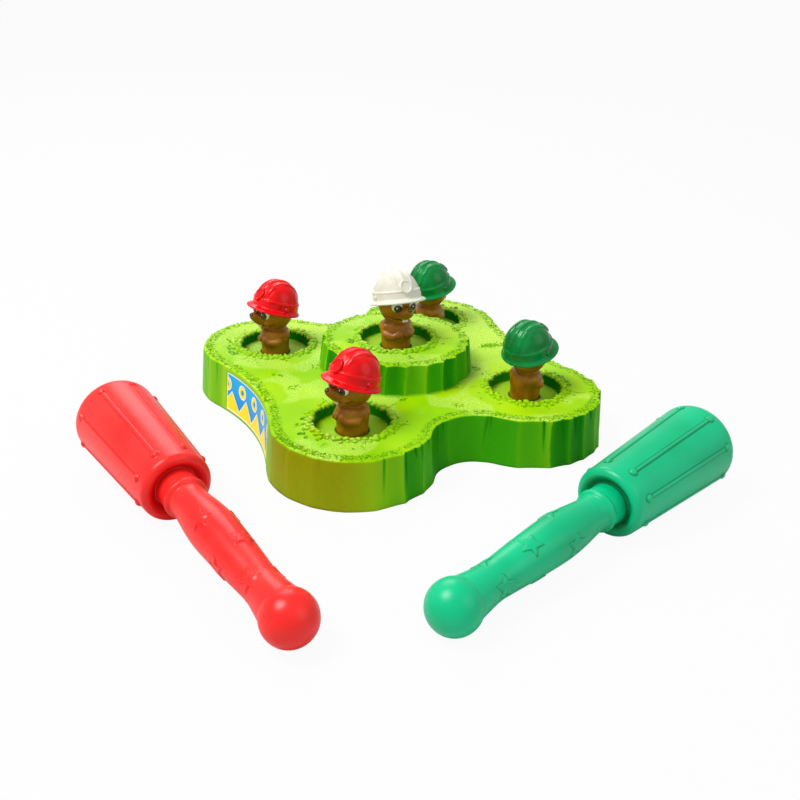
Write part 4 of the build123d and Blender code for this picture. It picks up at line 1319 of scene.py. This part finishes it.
def placeMallets():
    # x, y and turn in degrees; two tones, and a darker one painted as shade round the raised shapes and in
    # the dish
    looks = {
        "red": ((-163.4, -214.1, 98.4), rgb(248, 32, 30), rgb(255, 52, 46), rgb(206, 0, 6)),
        "green": ((-87.1, -239.7, 17.6), rgb(0, 182, 122), rgb(0, 200, 138), rgb(0, 112, 58)),
    }
    satin = {"shine": 0.32, "driftSize": 40 * mm, "swing": 0.1, "grainSize": 0.8 * mm, "uneven": 0.1}
    shape = malletMesh()
    radius, at, _ = mallet["striker"]
    tilt = math.atan2(radius, at) - math.asin(mallet["pommel"] / math.hypot(radius, at))
    for colour, ((x, y, yaw), deep, light, dark) in looks.items():
        mesh = shape.copy()
        # painted shade at the foot of raised shapes and in the dish
        dark = ("foot", 1.0, 0.75, dark)
        mesh.materials.append(moulded(colour + "_satin", deep, light, 0.31, dark, **satin))
        lay = turned(yaw, size=4) @ Matrix.Rotation(math.pi / 2 - tilt, 4, "Y")
        mesh.transform(Matrix.Translation(Vector((x, y, mallet["pommel"])) * mm) @ lay)
        piece = addPiece(colour + "_mallet_skin", mesh, colour + "_mallet_body", "mallet_" + colour)
        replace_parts(piece, colour + "_mallet")
    print("mallets:", len(shape.vertices), "vertices each")


placeMallets()


# Labels: a plain design of suns over a zigzag ridge, in the blue, yellow and white of such toys

label = {
    "pitch": 20.4,
    "ridgeFoot": 4.4,
    "ridgeRise": 12.0,
    "ridgeLine": 1.0,
    "sunsAt": 21.2,
    "sunSize": 4.5,
    "sunLine": 0.8,
    "sunCore": 0.45,
    "border": 0.9,
    "low": 1.65,
    "high": 29.55,
    "halfWidth": 40.9,
    # whole pitches that keep the shifted place above zero, and the ridge's own shift
    "shift": 100.5,
    "ridgeShift": 200,
}


def labelFinish():
    paint = Finish("printed_film", {"Specular IOR Level": 0.12})
    along, rise = [axis / mm for axis in paint.parts(paint.place)[1:]]
    blue, deepBlue = rgb(0, 176, 240), rgb(0, 136, 216)
    yellow, white = rgb(255, 232, 0), rgb(246, 248, 246)
    pitch, size = label["pitch"], label["sunSize"]
    ridge = along.math("PINGPONG", along + label["ridgeShift"], pitch / 2) / (pitch / 2)
    ridgeTop = label["ridgeFoot"] + ridge * label["ridgeRise"]
    shifted = along / pitch + label["shift"]
    across = (shifted.math("FRACT", shifted) - 0.5) * pitch
    away = (across * across + (rise - label["sunsAt"]) ** 2) ** 0.5
    edge = (label["halfWidth"] - abs(along)).lower((rise - label["low"]).lower(label["high"] - rise))
    colour = paint.mix((rise / label["high"]).fade(0.0, 1.0), deepBlue, blue)
    for value, limit, tone in (
        (rise, ridgeTop + label["ridgeLine"], white),
        (rise, ridgeTop, yellow),
        (away, size + label["sunLine"], white),
        (away, size, yellow),
        (away, size * label["sunCore"], deepBlue),
        (edge, label["border"], white),
    ):
        colour = paint.mix(value < limit, colour, tone)
    ink = paint.noise(0.25 * mm, 2.0)
    paint.feed("Base Color", paint.mix(ink.fade(0.3, 0.9) * 0.03, colour, white))
    paint.gloss(0.28, (ink, 0.15))
    paint.bump(paint.noise(2.5 * mm, 2.0), 0.02 * mm, 0.4)
    return paint.material


# The labels and the pieces under and inside the hill keep the frame's own shapes

steel = {"metal": 1.0, "grainSize": 0.3 * mm, "uneven": 0.2}
finishes = {
    "hill_green": turfMaterial,
    "label_print": labelFinish(),
    "cover_green": moulded("cover_plastic", rgb(96, 164, 8), rgb(118, 184, 20), 0.5, grainHeight=0.05 * mm),
    "led_clear": moulded("led_lens", rgb(226, 226, 212), rgb(242, 242, 232), 0.12),
    "plunger_white": moulded("plunger_plastic", rgb(222, 222, 216), rgb(236, 236, 232), 0.45),
    "spring_steel": moulded("spring_steel", rgb(150, 150, 154), rgb(186, 186, 190), 0.3, **steel),
    "board_green": moulded("circuit_board", rgb(22, 84, 46), rgb(36, 104, 60), 0.4, grainHeight=0.03 * mm),
    "electronics_black": moulded("black_epoxy", rgb(24, 24, 26), rgb(38, 38, 40), 0.5),
    "knob_black": moulded("black_knob", rgb(18, 18, 20), rgb(32, 32, 34), 0.45, grainHeight=0.04 * mm),
    "screw_steel": moulded("plated_steel", rgb(160, 160, 164), rgb(192, 192, 196), 0.32, **steel),
    "cell_jacket": moulded("cell_jacket", rgb(34, 36, 44), rgb(52, 54, 62), 0.3),
    "contact_metal": moulded("nickel_leaf", rgb(178, 176, 168), rgb(204, 202, 194), 0.28, **steel),
    "speaker_metal": moulded("speaker_basket", rgb(140, 140, 142), rgb(170, 170, 172), 0.4, **steel),
    "magnet_grey": moulded("ferrite", rgb(44, 44, 46), rgb(60, 60, 62), 0.6, grainHeight=0.05 * mm),
    "speaker_cone": moulded("black_paper", rgb(18, 18, 18), rgb(34, 34, 34), 0.8, grainHeight=0.08 * mm),
}


def dress(node, material):
    mesh = nodes[node].data
    mesh.materials.clear()
    mesh.materials.append(material)


for row in frame["record"]["subparts"]:
    if row["material_slot"] in finishes:
        dress(row["node"], finishes[row["material_slot"]])
print("labels and inner pieces finished")


# Return springs under the moles, of square wire

spring = {
    "wire": 0.9 * mm,
    "radius": 7.0 * mm,
    "turns": 4.5,
    "steps": 288,
    "travel": 7.03 * mm,
}


def windSpring(name):
    low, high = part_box("return_spring_" + name)
    middle = craterAt[name]
    half, steps = spring["wire"] / 2, spring["steps"]
    vertices = []
    for k in range(steps + 1):
        aim = 2 * math.pi * spring["turns"] * k / steps
        height = low.z + half + (high.z - low.z - spring["wire"]) * k / steps
        for across, up in ((-half, -half), (-half, half), (half, half), (half, -half)):
            reach = spring["radius"] + across
            vertices.append((middle.x + reach * math.cos(aim), middle.y + reach * math.sin(aim), height + up))
    last = 4 * steps
    faces = gridFaces(steps + 1, 4) + [(3, 2, 1, 0), (last, last + 1, last + 2, last + 3)]
    piece = basePiece("coil_" + name, vertices, faces, "spring_steel", finishes["spring_steel"], flat=True)
    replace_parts(piece, "return_spring_" + name)
    name + "_press"
    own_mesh(piece)


for name in places:
    windSpring(name)
print("springs wound")


# Floor, light and camera

studio = {
    "floorReach": 6.0,
    "floorTones": (rgb(208, 208, 208), rgb(216, 216, 216)),
    "floorGlow": 0.94,
    "worldStrength": 0.44,
    "worldShine": 0.2,
    # place, aim, size and power
    "lights": {
        "key": ((-0.85, 0.1, 1.4), (-0.05, -0.08, 0), 0.8, 21),
        "fill": ((0.9, -1.3, 1.1), (0, 0, 0), 1.4, 5),
        "rear": ((0.3, 1.4, 1.2), (0, 0, 0), 1.0, 8),
    },
    "azimuth": -27.76,
    "elevation": 25.7,
    "roll": 2.03,
    "lens": 43.81,
    "cameraAt": (-0.2937, -0.5674, 0.3124),
}


def layFloor():
    reach = studio["floorReach"]
    corners = [(-reach, -reach, 0), (reach, -reach, 0), (reach, reach, 0), (-reach, reach, 0)]
    mesh = rawMesh("floor", corners, [(0, 1, 2, 3)])
    paint = Finish("studio_floor", {"Roughness": 0.9, "Specular IOR Level": 0.0})
    paint.feed("Base Color", paint.mix(paint.noise(0.4, 2.0), *studio["floorTones"]))
    seen = paint.add("LightPath", output="Is Camera Ray")
    shine = paint.add("Emission", None, {"Color": (1, 1, 1, 1), "Strength": 1.0})
    plain = Wire(paint.tree, paint.shader.outputs[0])
    blend = paint.add("MixShader", None, {0: seen * studio["floorGlow"], 1: plain, 2: shine})
    paint.tree.links.new(blend.socket, paint.tree.nodes["Material Output"].inputs["Surface"])
    mesh.materials.append(paint.material)
    stand("floor", mesh)


def lightWorld():
    world = bpy.data.worlds.new("studio")
    bpy.context.scene.world = world
    world.use_nodes = True
    back = world.node_tree.nodes["Background"]
    back.inputs["Color"].default_value = (1, 1, 1, 1)
    camera = addNode(world.node_tree, "LightPath", output="Is Camera Ray")
    glossy, clear = camera.out("Is Glossy Ray"), camera.out("Is Transmission Ray")
    seen = camera.higher(clear).higher(glossy * studio["worldShine"])
    strength = studio["worldStrength"] + seen * (1 - studio["worldStrength"])
    world.node_tree.links.new(strength.socket, back.inputs["Strength"])


def softLight(name, place, target, size, power):
    lamp = bpy.data.lights.new(name, "AREA")
    lamp.shape = "DISK"
    lamp.size = size
    lamp.energy = power
    made = stand(name, lamp)
    made.location = place
    made.rotation_euler = (Vector(target) - Vector(place)).to_track_quat("-Z", "Y").to_euler()


def setCamera():
    camera = bpy.data.cameras.new("camera")
    camera.sensor_width = 36
    camera.lens = studio["lens"]
    camera.clip_start = 0.01
    aim = turned(studio["azimuth"], size=4) @ turned(90 - studio["elevation"], "X", 4)
    made = stand("camera", camera)
    made.matrix_world = Matrix.Translation(studio["cameraAt"]) @ aim @ turned(studio["roll"], size=4)
    bpy.context.scene.camera = made


layFloor()
lightWorld()
for name, look in studio["lights"].items():
    softLight(name, *look)
setCamera()
bpy.context.scene.view_settings.view_transform = "Standard"
print("studio set")
